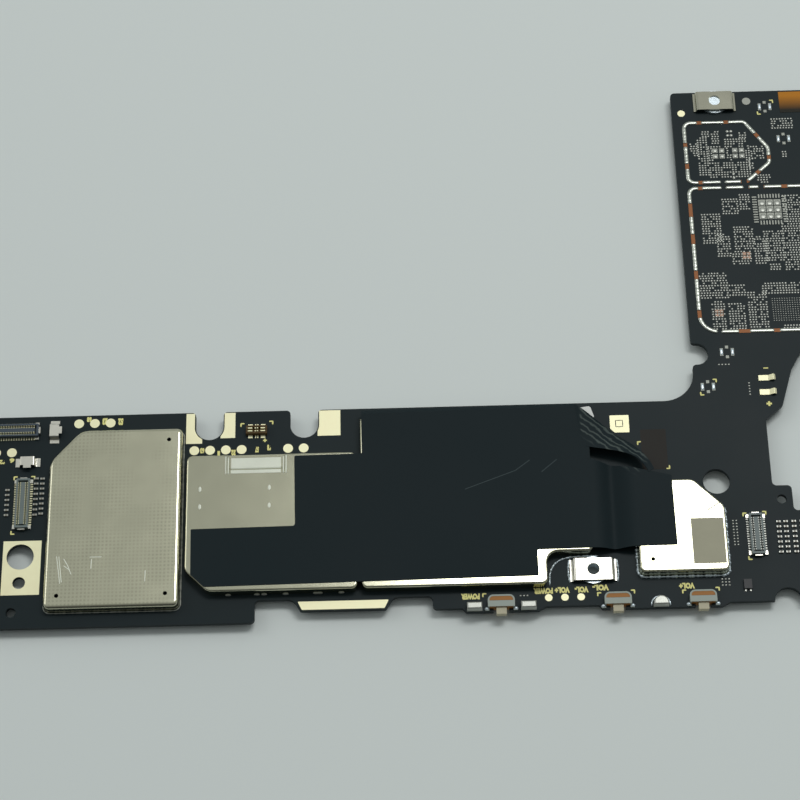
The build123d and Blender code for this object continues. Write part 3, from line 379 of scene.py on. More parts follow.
def moulding_finishes():
    """Plastic and ceramic bodies. Their real grain is too fine to show, so it is drawn 0.15 mm wide."""
    return {
        # dark grey, a little lighter than the mask
        "black_moulding": grained("glass-filled nylon, moulded", linear("#26282A"), 0.5, 0.15, 0.003),
        # slate blue body between two rows of gold contacts
        "blue_moulding": grained(
            "liquid-crystal polymer, slate blue, moulded", linear("#3B4A56"), 0.5, 0.15, 0.003
        ),
        # pale body that sets the two small connectors off the board
        "grey_moulding": grained(
            "liquid-crystal polymer, pale grey, moulded", linear("#6E7A78"), 0.5, 0.15, 0.003
        ),
        # dark amber of the power connector
        "amber_moulding": grained("polyamide, amber, moulded", linear("#54401F"), 0.5, 0.15, 0.003, **PLAIN),
        # orange brown inside the key frames
        "brown_moulding": grained("phenolic resin, moulded", linear("#A8743F"), 0.5, 0.15, 0.003, **PLAIN),
        # cream plungers
        "beige_moulding": grained("liquid-crystal polymer, moulded", linear("#BDB69A"), 0.5, 0.15, 0.003),
        # stone-like brownish grey
        "ceramic_chip": grained("fired ceramic, tinned ends", linear("#8F8B7E"), 0.4, 0.15, 0.003),
    }


def board_finishes(settings):
    """One material for each material slot of the record, and variants of some."""
    return {
        **sheet_finishes(settings),
        **solder_finishes(),
        **board_skin(settings),
        **film_finishes(settings),
        **moulding_finishes(),
    }


# nodes whose finish is a variant of their slot's
VARIANTS = {
    "shield_can_left": "nickel_with_weave_shade",
    "shield_can_right": "nickel_with_weave_shade",
    "nut_bracket_upper": "shaded_mirror_plate",
    "power_key_frame": "satin_plate",
    "volume_down_key_frame": "satin_plate",
    "volume_up_key_frame": "satin_plate",
    "edge_stops": "dull_solder",
    "tinned_lands": "flat_solder",
    "chip_ends": "dull_solder",
    "screw_inserts": "bluish_glint_solder",
    "display_connector_housing": "blue_moulding",
    "camera_connector_housing": "grey_moulding",
    "audio_connector_housing": "grey_moulding",
    "audio_connector_contacts": "dull_solder",
    "battery_connector_body": "amber_moulding",
}
FINISHES = {}  # the materials by slot and variant, filled by the finishes operator


class BOARD_OT_finishes(bpy.types.Operator):
    """Give every piece of the board the finish of its material slot"""

    bl_idname = "board.finishes"
    bl_label = "Board finishes"

    def execute(self, context):
        FINISHES.update(board_finishes(context.scene.board_finishes))
        slots = {part["node"]: part["material_slot"] for part in frame["record"]["subparts"]}
        for name, node in frame["nodes"].items():
            node.data.materials.clear()
            node.data.materials.append(FINISHES[VARIANTS.get(name, slots[name])])
        return {"FINISHED"}


# ---------------------------------------------------------------- places, in millimetres


def corner(name, dx=0.0, dy=0.0):
    """Point dx, dy from the lower left corner of a node's box, at the node's top."""
    low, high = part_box(name)
    return np.array((low[0] / MM + dx, low[1] / MM + dy, high[2] / MM))


def far_corner(name):
    """Upper right corner of a node's box, at the node's top."""
    return np.array(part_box(name)[1]) / MM


def board_top():
    """Height of the board's upper face."""
    return far_corner("circuit_board")[2]


def over(name, dx=0.0, dy=0.0):
    """Point dx, dy from the middle of the far side of a node's box, on the board."""
    low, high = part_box(name)
    return np.array(((low[0] + high[0]) / 2 / MM + dx, high[1] / MM + dy, board_top()))


def on_board(name, offsets):
    """Offsets from a node's lower left corner as points on the top of the board."""
    x, y, _ = corner(name)
    return np.column_stack((offsets[:, 0] + x, offsets[:, 1] + y, np.full(len(offsets), board_top())))


def lattice(area, pitch):
    """Points of a lattice inside x0, x1, y0, y1."""
    x0, x1, y0, y1 = area
    x, y = np.meshgrid(np.arange(x0, x1, pitch[0]), np.arange(y0, y1, pitch[1]))
    return np.column_stack((x.ravel(), y.ravel()))


# ---------------------------------------------------------------- shapes, in millimetres

BEAD_FADE = 0.2  # stretch over which a bead thins out beside a bare spot
BEAD_SINK, BEAD_FOOT = 0.03, 0.02  # a bare stretch and the underside of a bead lie this far below its level
LETTER_SPREAD = 0.075  # by which the strokes of a letter are thickened, of the letter's size
INK_T, INK_LIFT = 0.02, 0.012  # thickness of a printed word, and height of its middle over the board


def grid(points, wrap_rows=False, wrap_columns=False):
    """Shape from rows x columns of points: wrapping joins the last row or column to the first."""
    index = np.arange(points.shape[0] * points.shape[1]).reshape(points.shape[:2])
    if wrap_rows:
        index = np.vstack((index, index[:1]))
    if wrap_columns:
        index = np.hstack((index, index[:, :1]))
    quads = np.stack((index[:-1, :-1], index[:-1, 1:], index[1:, 1:], index[1:, :-1]), -1)
    return points.reshape(-1, 3), quads.reshape(-1, 4)


def joined(shapes):
    """Several shapes as one."""
    starts = np.cumsum([0] + [len(points) for points, _ in shapes[:-1]])
    return np.vstack([p for p, _ in shapes]), np.vstack([q + start for (_, q), start in zip(shapes, starts)])


def copies(shape, places, sizes):
    """A unit shape set down at each place with its own size along X, Y and Z."""
    points, quads = shape
    placed = places[:, None] + points * np.broadcast_to(sizes, (len(places), 3))[:, None]
    starts = np.arange(len(places))[:, None, None] * len(points)
    return placed.reshape(-1, 3), (quads + starts).reshape(-1, 4)


def lump(sides):
    """Unit dome of reflowed solder: rings of sides points that shrink as 1, 0.84, 0.45 while they rise."""
    angle = (np.arange(sides) + 0.5) * 2 * pi / sides
    rim = np.stack((np.cos(angle), np.sin(angle)), -1) / np.cos(pi / sides) / 2
    steps = ((1, 0), (0.84, 0.7), (0.45, 1))
    rings = np.array([np.column_stack((rim * share, np.full(sides, rise))) for share, rise in steps])
    points, quads = grid(rings, wrap_columns=True)
    fan = [(2 * sides, 2 * sides + k, 2 * sides + k + 1, 2 * sides + k + 2) for k in range(1, sides - 2, 2)]
    return points, np.vstack((quads, fan))


def slab(x0, x1, y0, y1, low, high):
    """Upright box without a floor."""
    ring = np.array(((x0, y0), (x1, y0), (x1, y1), (x0, y1)))
    rings = [np.column_stack((ring, np.full(4, level))) for level in (low, high)]
    points, quads = grid(np.array(rings), wrap_columns=True)
    return points, np.vstack((quads, [(4, 5, 6, 7)]))


def spaced(points, pitch):
    """Points set at even distances, close to pitch, along a line through the given ones."""
    along = np.append(0, np.cumsum(np.linalg.norm(np.diff(points, axis=0), axis=1)))
    at = np.linspace(0, along[-1], max(int(along[-1] / pitch), 2) + 1)
    return np.column_stack([np.interp(at, along, column) for column in points.T])


def rounded_path(bends, pitch):
    """Points every pitch along a closed path through bends (x, y, radius), each an arc between its sides."""
    spots = np.array([bend[:2] for bend in bends], float)
    stretches = []
    for k, (_, _, radius) in enumerate(bends):
        here = spots[k]
        back, on = (spots[k - 1] - here, spots[(k + 1) % len(spots)] - here)
        back, on = back / np.linalg.norm(back), on / np.linalg.norm(on)
        half = np.arccos(back @ on) / 2
        centre = here + (back + on) / np.linalg.norm(back + on) * radius / np.sin(half)
        start, end = here + back * radius / np.tan(half) - centre, here + on * radius / np.tan(half) - centre
        turn, t = pi - 2 * half, np.linspace(0, 1, 9)[:, None]
        stretches.append(centre + (np.sin((1 - t) * turn) * start + np.sin(t * turn) * end) / np.sin(turn))
    return spaced(np.vstack(stretches + [stretches[0][:1]]), pitch)[:-1]


def smoothed(bends):
    """Open line through bends, smoothed by cutting each of them three times at a quarter of its sides."""
    line = np.array(bends, float)
    for _ in range(3):
        here, on = line[:-1], line[1:]
        cut = np.stack((0.75 * here + 0.25 * on, 0.25 * here + 0.75 * on), 1).reshape(-1, 2)
        line = np.vstack((line[:1], cut, line[-1:]))
    return line


def bead(path, level, width, height, closed=False, bare=(), lumps=0.0):
    """Half-elliptic bead along a flat path.

    The section at share a of its half turn is (width / 2 cos a, height sin a). At each bare spot
    (x, y, half length) the bead thins to nothing and sinks below level, and lumps is the share by which
    three sine waves along the path swell it. An open bead tapers at both ends.
    """
    ahead = np.roll(path, -1, 0) - np.roll(path, 1, 0) if closed else np.gradient(path, axis=0)
    across = np.column_stack((-ahead[:, 1], ahead[:, 0])) / np.linalg.norm(ahead, axis=1)[:, None]
    along = np.append(0, np.cumsum(np.linalg.norm(np.diff(path, axis=0), axis=1)))
    full = np.ones(len(path))
    for x, y, reach in bare:
        full *= np.clip((np.hypot(path[:, 0] - x, path[:, 1] - y) - reach) / BEAD_FADE, 0, 1)
    if not closed:
        full *= np.sqrt(np.clip(np.minimum(along, along[-1] - along) / width, 0, 1))
    swell = full * (1 + lumps * (np.sin(2.3 * along) + np.sin(5.1 * along + 1) + np.sin(9.7 * along + 2)) / 3)
    angle = np.linspace(0, pi, 8)
    side = np.append(np.cos(angle), 0)[None, :] * width / 2 * swell[:, None]
    rise = np.append(np.sin(angle), 0)[None, :] * height * swell[:, None] - BEAD_SINK * (1 - full[:, None])
    rise[:, -1] -= BEAD_FOOT
    spots = path[:, None] + across[:, None] * side[..., None]
    return grid(np.dstack((spots, level + rise)), closed, True)


def line_on(name, level, offsets, width, height):
    """Bead along offsets from a node's lower left corner, at a level."""
    x, y, _ = corner(name)
    return bead(spaced(np.array(offsets, float) + (x, y), 0.1), level, width, height)


def piece(name, shape, slot, finish=None, smooth=True):
    """Object from a shape in millimetres, with the finish of a material slot or a variant of it."""
    points, quads = shape
    mesh = bpy.data.meshes.new(name)
    mesh.from_pydata((points * MM).tolist(), [], quads.tolist())
    return dressed(name, mesh, slot, finish, smooth)


def dressed(name, mesh, slot, finish=None, smooth=True):
    """Object that carries a mesh in the frame and rides on the board."""
    mesh.polygons.foreach_set("use_smooth", np.full(len(mesh.polygons), smooth))
    mesh.materials.append(FINISHES[finish or slot])
    made = bpy.data.objects.new(name, mesh)
    bpy.context.scene.collection.objects.link(made)
    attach(made, "board")
    return made


def word(name, text, place, width, height):
    """Printed word fitted to a width and a height about its place, which reads from the far side."""
    curve = bpy.data.curves.new(name, "FONT")
    curve.body, curve.offset, curve.extrude = text, LETTER_SPREAD, INK_T / 2
    curve.resolution_u = 2
    written = bpy.data.objects.new(name, curve)
    bpy.context.scene.collection.objects.link(written)
    mesh = bpy.data.meshes.new_from_object(written)
    bpy.data.objects.remove(written)
    bpy.data.curves.remove(curve)
    points = np.empty(3 * len(mesh.vertices))
    mesh.vertices.foreach_get("co", points)
    points = points.reshape(-1, 3)
    low, high = points.min(0), points.max(0)
    points = (points - (low + high) / 2) / (high - low) * (width, height, INK_T)
    points[:, :2] *= -1
    mesh.vertices.foreach_set("co", ((points + place + (0, 0, INK_LIFT)) * MM).ravel())
    mesh.update()
    return dressed(name, mesh, "gold_plating", "legend_ink", smooth=False)


# ---------------------------------------------------------------- arm

TRACK_W = 0.62  # of the copper under the beads
UPPER_CUTS = ((4.0, 3.6), (3.6, 5.2))  # cut corners of the upper loop, at the lower and the upper right
CUT_RADII = (0.6, 1.2, 1.2, 0.9)  # of the four bends that the two cuts make
LOOP_R, LOWER_R = 1.1, 3.0
ARM_LUMPS = 0.08  # swell of the beads on the arm

# bare spots and breaks of the beads: offset from the loop's lower left corner, and half length
BARE = {
    "arm_track_upper": (
        (2.9, 12.0, 0.245), (7.4, 12.0, 0.245), (12.3, 9.3, 0.28), (14.0, 4.9, 0.21), (12.1, 1.9, 0.28),
        (0.3, 7.7, 0.21), (0.3, 3.5, 0.35), (2.3, 0.3, 0.21), (6.0, 0.3, 0.245), (9.6, 0.3, 0.49),
    ),
    "arm_track_lower": (
        (0.3, 23.0, 1.12), (0.3, 17.5, 0.77), (0.3, 10.8, 0.63), (0.5, 3.6, 0.56), (2.2, 27.2, 0.21),
        (6.1, 27.2, 0.28), (9.8, 27.2, 0.35), (12.3, 27.2, 0.35), (16.1, 27.2, 0.35), (3.3, 0.3, 0.245),
        (7.3, 0.3, 0.77), (12.5, 0.3, 0.35), (20.9, 9.0, 0.7), (20.9, 19.0, 0.84),
    ),
}

# tinned lands of small parts: x0, x1, y0, y1 from the loop's lower left corner
UPPER_FIELD = (
    (2.4, 4.0, 1.8, 9.2), (1.2, 2.5, 5.6, 7.9), (3.3, 4.4, 9.3, 10.5), (4.9, 6.3, 7.9, 10.6),
    (7.0, 10.4, 7.7, 8.8), (9.5, 10.5, 8.9, 9.8), (4.1, 10.7, 7.2, 7.6), (4.1, 10.7, 1.3, 4.3),
    (11.2, 13.2, 4.8, 7.5), (10.7, 11.4, 2.9, 4.7), (7.2, 7.7, 4.6, 6.9), (4.1, 4.6, 4.6, 6.9),
    (10.3, 10.8, 4.5, 6.9), (15.1, 18.6, 10.6, 12.4), (11.9, 14.2, 0.1, 1.7), (16.4, 17.2, 5.0, 6.1),
)
LOWER_FIELD = (
    (5.7, 8.5, 22.2, 25.3), (8.6, 10.4, 23.0, 25.8), (2.1, 5.0, 16.7, 22.4), (4.3, 6.3, 14.2, 18.7),
    (7.2, 10.2, 15.5, 20.0), (6.6, 9.8, 12.7, 15.0), (10.3, 12.5, 12.7, 17.9), (12.0, 14.9, 13.2, 18.8),
    (15.1, 19.8, 11.4, 25.5), (12.6, 14.3, 11.5, 12.4), (0.9, 5.6, 6.5, 11.2), (5.1, 8.0, 6.9, 9.1),
    (2.5, 4.8, 0.8, 5.9), (5.2, 7.9, 0.8, 5.7), (8.4, 11.3, 1.0, 7.6), (10.9, 19.8, 7.1, 9.2),
    (13.8, 19.8, 0.7, 1.5),
)
LOWER_KEEP_OUT = ((10.6, 15.6, 20.0, 26.0),)  # the quad-flat footprint
DOT_PITCH = (0.47, 0.45)
DOT_WAVE = 0.06  # by which the rows of lands wander
DOTS_KEPT = 0.86  # share of the lattice that carries a land

BALLS = (12.2, 19.6, 2.1, 6.2)  # ball grid in the lower loop
BALL_PITCH, BALL_SIZE = 0.4, (0.19, 0.19, 0.07)
# domes of solder: offset from the upper loop's lower left corner, and side
# a quad's four domes lie round its middle
QUAD = [(dx, dy) for dx in (-0.56, 0.56) for dy in (-0.56, 0.56)]
QUAD_DOMES = [(x + dx, 5.86 + dy, 0.84) for x in (5.71, 9.01) for dx, dy in QUAD]
FLAT_DOMES = [(12.05 + dx, -6.55 + dy, 1.12) for dx in (0, 1.26, 2.52) for dy in (0, 1.27, 2.54)]
SINGLE_DOMES = [
    (7.5, 9.4, 0.5), (8.1, 9.4, 0.5), (7.5, 10.2, 0.5), (8.1, 10.2, 0.5), (7.9, 1.1, 0.45), (7.9, 1.9, 0.45)
]
DOMES = np.array(QUAD_DOMES + FLAT_DOMES + SINGLE_DOMES)
DOME_FLATNESS = 6  # width of a dome over its height
COAX_AT = ((4.63, 7.23), (1.13, 1.13), (14.68, 53.43), (17.28, 47.03))  # from the tinned lands' corner
COAX_SPREAD, COAX_SIZE = 0.875, (0.5, 1.35, 0.2)
WARM_AT, WARM_STEP, WARM_SIZE = ((8.8, 14.2), (3.5, 3.7)), (-0.36, 0.36), (0.62, 0.62, 0.08)


def loop_box(name):
    """Centre-line box of a loop of copper on the arm: x0, y0, x1, y1."""
    (x0, y0, _), (x1, y1, _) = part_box(name)
    half = TRACK_W / 2
    return x0 / MM + half, y0 / MM + half, x1 / MM - half, y1 / MM - half


def upper_loop():
    """Bends of the upper loop as (x, y, radius)."""
    x0, y0, x1, y1 = loop_box("arm_track_upper")
    (low_x, low_y), (high_x, high_y) = UPPER_CUTS
    cuts = [(x1 - low_x, y0), (x1, y0 + low_y), (x1, y1 - high_y), (x1 - high_x, y1)]
    right = [(x, y, radius) for (x, y), radius in zip(cuts, CUT_RADII)]
    return [(x0, y0, LOOP_R)] + right + [(x0, y1, LOOP_R)]


def lower_loop():
    """Bends of the lower loop as (x, y, radius)."""
    x0, y0, x1, y1 = loop_box("arm_track_lower")
    return [(x0, y0, LOWER_R), (x1, y0, LOOP_R), (x1, y1, LOOP_R), (x0, y1, LOOP_R)]


def dot_places(name, areas, keep_out, seed):
    """Places of the small lands of a loop: a lattice in each area, thinned by a seeded draw."""
    draw = np.random.default_rng(seed)
    places = np.vstack([lattice(area, DOT_PITCH) for area in areas])
    places[:, 0] += DOT_WAVE * np.sin(7 * places[:, 1])
    kept = draw.random(len(places)) < DOTS_KEPT
    for x0, x1, y0, y1 in keep_out:
        inside = (places[:, 0] > x0) & (places[:, 0] < x1) & (places[:, 1] > y0) & (places[:, 1] < y1)
        kept &= ~inside
    return on_board(name, places[kept])


class BOARD_OT_arm_beads(bpy.types.Operator):
    """Run solder beads round the two can footprints on the arm"""

    bl_idname = "board.arm_beads"
    bl_label = "Arm beads"

    def execute(self, context):
        sizes = context.scene.board_detail
        width, height = sizes.bead_width / MM, sizes.bead_height / MM
        for name, bends in (("arm_track_upper", upper_loop()), ("arm_track_lower", lower_loop())):
            x, y, _ = corner(name)
            bare = [(x + dx, y + dy, reach) for dx, dy, reach in BARE[name]]
            path = rounded_path(bends, pitch=0.1)
            made = bead(path, board_top(), width, height, closed=True, bare=bare, lumps=ARM_LUMPS)
            piece(name.replace("track", "bead"), made, "solder")
        return {"FINISHED"}


class BOARD_OT_arm_lands(bpy.types.Operator):
    """Tin the lands of the small parts and the ball grid on the arm"""

    bl_idname = "board.arm_lands"
    bl_label = "Arm lands"

    def execute(self, context):
        sizes = context.scene.board_detail
        dot, height = sizes.dot_size / MM, sizes.dot_height / MM
        upper = dot_places("arm_track_upper", UPPER_FIELD, keep_out=(), seed=3)
        lower = dot_places("arm_track_lower", LOWER_FIELD, LOWER_KEEP_OUT, seed=5)
        lands = copies(lump(4), np.vstack((upper, lower)), (dot, dot, height))
        piece("arm_lands", lands, "solder", "dull_solder")
        balls = on_board("arm_track_lower", lattice(BALLS, (BALL_PITCH, BALL_PITCH)))
        piece("ball_grid", copies(lump(6), balls, BALL_SIZE), "solder", "dull_solder")
        return {"FINISHED"}


class BOARD_OT_arm_domes(bpy.types.Operator):
    """Set the larger domes of solder on the arm"""

    bl_idname = "board.arm_domes"
    bl_label = "Arm domes"

    def execute(self, context):
        ends = [(x + dx, y) for x, y in COAX_AT for dx in (-COAX_SPREAD, COAX_SPREAD)]
        coax = copies(lump(8), on_board("tinned_lands", np.array(ends)), COAX_SIZE)
        piece("coax_domes", coax, "solder", "bluish_glint_solder")
        sizes = DOMES[:, 2:] / (1, 1, DOME_FLATNESS)
        pads = copies(lump(8), on_board("arm_track_upper", DOMES[:, :2]), sizes)
        piece("pad_domes", pads, "solder", "dull_solder")
        lands = [(x + dx, y + dy) for x, y in WARM_AT for dx in WARM_STEP for dy in WARM_STEP]
        warm = copies(lump(4), on_board("arm_track_lower", np.array(lands)), WARM_SIZE)
        piece("warm_lands", warm, "copper", "pale_copper")
        return {"FINISHED"}


# ---------------------------------------------------------------- cans and keys

CAN_R = 0.9  # corner radius of the cans in plan
LEFT_CUT, RIGHT_CUT = (4.7, 5.25), (4.6, 4.6)  # cut far corners, along X and Y
LEFT_GAP, RIGHT_GAP = 0.14, 0.22  # from a can's wall to the middle of its bead
LEFT_CUT_R, RIGHT_CUT_R = 3, 2
KEYS = ("power", "volume_down", "volume_up")
FOOT_INSET, FOOT_SIZE = (0.25, 0.3), (0.75, 0.6, 0.32)
STOP_AT, STOP_R = (29.435, 0.35), 1.42  # round edge stop, from the lower left corner of the edge stops
STOP_PAST = 0.15  # by which its bead passes the half turn at each end, in radians


def can_foot(name):
    """Bends of the bead round a can's foot, with the can's far left or far right corner cut."""
    gap = {"shield_can_left": LEFT_GAP, "shield_can_right": RIGHT_GAP}[name]
    (x0, y0, _), (x1, y1, _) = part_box(name)
    x0, y0, x1, y1 = x0 / MM - gap, y0 / MM - gap, x1 / MM + gap, y1 / MM + gap
    r = CAN_R + gap
    near = [(x0, y0, r), (x1, y0, r)]
    if name == "shield_can_left":
        dx, dy = LEFT_CUT
        return near + [(x1, y1, r), (x0 + dx, y1, LEFT_CUT_R), (x0, y1 - dy, LEFT_CUT_R)]
    dx, dy = RIGHT_CUT
    return near + [(x1, y1 - dy, RIGHT_CUT_R), (x1 - dx, y1, RIGHT_CUT_R), (x0, y1, r)]


class BOARD_OT_can_beads(bpy.types.Operator):
    """Run solder round the feet of the left and the right can"""

    bl_idname = "board.can_beads"
    bl_label = "Can beads"

    def execute(self, context):
        level = board_top()
        path = rounded_path(can_foot("shield_can_left"), pitch=0.12)
        left = bead(path, level, width=0.18, height=0.12, closed=True, lumps=0.5)
        piece("left_can_bead", left, "solder", "flat_solder")
        path = rounded_path(can_foot("shield_can_right"), pitch=0.1)
        right = bead(path, level, width=0.42, height=0.3, closed=True, lumps=0.7)
        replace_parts(piece("right_can_bead", right, "solder", "bluish_glint_solder"), "can_solder")
        return {"FINISHED"}


class BOARD_OT_key_solder(bpy.types.Operator):
    """Solder the feet of the side keys and the round edge stop"""

    bl_idname = "board.key_solder"
    bl_label = "Key solder"

    def execute(self, context):
        level, feet = board_top(), []
        dx, dy = FOOT_INSET
        for key in KEYS:
            (x0, y0, _), (x1, _, _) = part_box(f"{key}_key_frame")
            feet += [(x0 / MM + dx, y0 / MM + dy, level), (x1 / MM - dx, y0 / MM + dy, level)]
        piece("key_feet", copies(lump(8), np.array(feet), FOOT_SIZE), "solder", "bluish_glint_solder")
        angle = np.linspace(-STOP_PAST, pi + STOP_PAST, 30)[:, None]
        arch = corner("edge_stops", *STOP_AT)[:2] + STOP_R * np.hstack((np.cos(angle), np.sin(angle)))
        piece("stop_bead", bead(arch, level, width=0.26, height=0.2, lumps=0.3), "solder", "bluish_glint_solder")
        return {"FINISHED"}


# ---------------------------------------------------------------- marks on the lids

# scratches of the left can and weld marks of the middle one, as offsets from their can's lower left corner
SCRATCHES = (
    ((1.8, 8.65), (2.2, 6.0), (2.5, 3.9)),
    ((2.15, 8.6), (2.75, 4.1)),
    ((2.9, 8.15), (3.6, 6.9), (4.2, 5.4)),
    ((2.9, 7.0), (4.0, 6.1)),
    ((6.8, 8.25), (8.8, 8.25)),
    ((7.2, 8.05), (7.15, 6.25)),
    ((15.5, 5.95), (15.45, 3.95)),
)
WELDS, WELD_SIZE = ((2.15, 17.0), (2.15, 14.05), (12.9, 17.05), (12.9, 14.05)), (0.42, 0.8, 0.012)
# burnished sheet of the middle can's window, its pale partly a painted highlight of the ramp: ends along X, and
# rows as offset along Y and rise over the lid
LEDGE_X = (6.9, 14.7)
LEDGE_ROWS = ((19.55, 0.012), (20.1, 0.012), (20.62, -0.335), (22.3, -0.335))
# painted highlights along the edges of the window's side ramps
RIM_HIGHLIGHT_LINES = ((6.1, 22.6), (6.5, 22.4), (15.1, 22.4), (15.5, 22.6))  # x of a rim and y of its far end
RIM_START = 19.4
GUSSET = (33.95, 35.7, 20.45, 23.35)  # end of the torn tape's fold: x0, x1, y0, y1 from the main can's corner
GUSSET_Z = (-0.1, 0.11)  # its lower and upper face from the lid
# a crease of the right can's lid, drawn as a line of painted shade
LID_CREASE = ((10.6, 9.7), (12.9, 11.2))  # on the right can
# grey strokes on the tape, from the main can's corner, and height of the tape's face over the lid
TAPE_GREY_STROKES, STROKE_RISE = (((16.0, 15.8), (24.0, 18.8), (26.4, 20.6)), ((28.0, 18.4), (30.6, 20.6))), 0.1


class BOARD_OT_lid_marks(bpy.types.Operator):
    """Scratch the left can's lid and mark the welds of the middle can"""

    bl_idname = "board.lid_marks"
    bl_label = "Lid marks"

    def execute(self, context):
        lid = far_corner("shield_can_left")[2]
        lines = [line_on("shield_can_left", lid, line, width=0.13, height=0.008) for line in SCRATCHES]
        piece("lid_scratches", joined(lines), "nickel_silver", "burnish_and_highlight")
        welds = np.array([corner("shield_can_middle", dx, dy) for dx, dy in WELDS])
        piece("weld_marks", copies(lump(6), welds, WELD_SIZE), "nickel_silver", "burnish_and_highlight")
        return {"FINISHED"}


class BOARD_OT_window(bpy.types.Operator):
    """Burnish the ramp of the middle can's pressed window, its pale partly a painted highlight, and paint
    highlights along its rims
    """

    bl_idname = "board.window"
    bl_label = "Can window"

    def execute(self, context):
        can = "shield_can_middle"
        rows = [[corner(can, dx, dy) + (0, 0, rise) for dx in LEDGE_X] for dy, rise in LEDGE_ROWS]
        piece("window_ledge", grid(np.array(rows)), "nickel_silver", "burnish_and_highlight", smooth=False)
        lid = far_corner(can)[2]
        # the rims are painted highlights: pale lines along the edges of the side ramps
        lines = [((x, RIM_START), (x, end)) for x, end in RIM_HIGHLIGHT_LINES]
        rim_highlights = [line_on(can, lid, line, width=0.22, height=0.06) for line in lines]
        piece("window_rim_highlights", joined(rim_highlights), "nickel_silver", "burnish_and_highlight")
        return {"FINISHED"}


class BOARD_OT_tape_marks(bpy.types.Operator):
    """Close the fold of the torn tape, draw grey strokes on the tape, and paint shade along a crease of the lid
    beside it
    """

    bl_idname = "board.tape_marks"
    bl_label = "Tape marks"

    def execute(self, context):
        x, y, lid = corner("shield_can_main")
        x0, x1, y0, y1 = GUSSET
        gusset = slab(x + x0, x + x1, y + y0, y + y1, *(lid + z for z in GUSSET_Z))
        piece("tape_gusset", gusset, "graphite_tape", smooth=False)
        # painted shade along the crease of the right can's lid
        crease = line_on("shield_can_right", lid, LID_CREASE, width=0.16, height=0.012)
        piece("lid_crease", crease, "nickel_silver", "grey_strokes_and_crease_shade")
        face = lid + STROKE_RISE
        grey_strokes = [line_on("shield_can_main", face, line, width=0.14, height=0.006) for line in TAPE_GREY_STROKES]
        piece("tape_grey_strokes", joined(grey_strokes), "graphite_tape", "grey_strokes_and_crease_shade")
        return {"FINISHED"}


# ---------------------------------------------------------------- solder beside the cans

WALL_DROPS_X = (6.6, 11.0, 12.1, 15.4, 20.0, 20.6, 23.9)  # along the middle can's near wall
WALL_DROP_Y, WALL_DROP_SIZE = -0.02, (0.9, 0.34, 0.3)
# places of the smallest parts: x0, x1, y0, y1 from the board's lower left corner
BITS = (
    (123.5, 124.5, 10.8, 14.9), (121.1, 122.3, 4.2, 5.3), (90.3, 91.5, 3.3, 3.7), (128.0, 128.5, 36.4, 38.6),
    (123.5, 125.1, 41.8, 42.0),
)
BIT_PITCH, BIT_SIZE = (0.52, 0.5), (0.28, 0.24, 0.08)
# seam round the lower bracket, from its lower left corner
SEAM = ((-3.225, -0.475), (-3.125, 2.125), (-1.225, 4.125), (4.475, 4.225))
BRACKET_BOW = ((0.1, -0.15), (0.35, 0), (0.1, 0.15))  # beads of its feet: outward, and past the foot along Y


class BOARD_OT_side_solder(bpy.types.Operator):
    """Set the drops of solder at the near walls, the smallest parts and the beads of the lower bracket"""

    bl_idname = "board.side_solder"
    bl_label = "Side solder"

    def execute(self, context):
        level = board_top()
        drops = on_board("shield_can_middle", np.array([(dx, WALL_DROP_Y) for dx in WALL_DROPS_X]))
        piece("wall_drops", copies(lump(8), drops, WALL_DROP_SIZE), "solder", "dull_solder")
        bits = on_board("circuit_board", np.vstack([lattice(area, BIT_PITCH) for area in BITS]))
        piece("small_bits", copies(lump(4), bits, BIT_SIZE), "solder", "dull_solder")
        low, high = corner("nut_bracket_lower")[:2], far_corner("nut_bracket_lower")[:2]
        seam = spaced(smoothed(low + SEAM), 0.1)
        beads = [bead(seam, level, width=0.3, height=0.25, lumps=0.5)]
        rows = (low[1], (low[1] + high[1]) / 2, high[1])
        for edge, out in ((low[0], -1), (high[0], 1)):
            bow = spaced(smoothed([(edge + out * dx, y + dy) for y, (dx, dy) in zip(rows, BRACKET_BOW)]), 0.1)
            beads.append(bead(bow, level, width=0.34, height=0.3, lumps=0.5))
        piece("side_beads", joined(beads), "solder", "bluish_glint_solder")
        return {"FINISHED"}


# ---------------------------------------------------------------- print

# printed words: text, node they stand by, offset from the middle of that node's far side, width
WORDS = (
    ("POWER", "power_key_frame", -4.65, 0.1, 2.85),
    ("POWER", "power_key_frame", 6.45, 0.72, 2.95),
    ("VOL+", "power_key_frame", 9.35, 0.8, 2.3),
    ("VOL-", "power_key_frame", 12.3, 0.8, 2.1),
    ("VOL-", "volume_down_key_frame", -2.5, 1.05, 2.5),
    ("VOL+", "volume_up_key_frame", -2.3, 1.0, 2.4),
)
# plus and minus signs and the numbers beside the test pads: text, node, offset, width, height
NUMBERS = (
    ("-", "speaker_springs", 0.0, 1.3, 0.75, 0.2),
    ("+", "speaker_springs", 0.0, -5.0, 0.85, 0.85),
    ("+", "battery_connector_body", 1.3, -2.3, 0.6, 0.6),
    ("68", "shield_can_left", -4.7, 2.6, 0.75, 0.95),
    ("23", "shield_can_left", -2.2, 2.2, 0.8, 1.2),
    ("52", "shield_can_left", 0.3, 2.1, 0.8, 1.2),
    ("6", "shield_can_left", -16.6, -4.2, 0.8, 0.8),
    ("92", "shield_can_left", -18.1, -4.4, 0.8, 0.8),
    ("63", "shield_can_middle", -11.0, 1.6, 0.7, 1.0),
    ("1", "shield_can_middle", -8.4, 1.05, 0.4, 0.9),
    ("32", "shield_can_middle", -6.1, 1.15, 0.7, 1.0),
    ("57", "shield_can_middle", -2.4, 1.6, 0.6, 1.0),
    ("98", "shield_can_middle", -0.5, 1.9, 0.6, 1.1),
)
MARK = 0.65  # length of the strokes of a corner mark
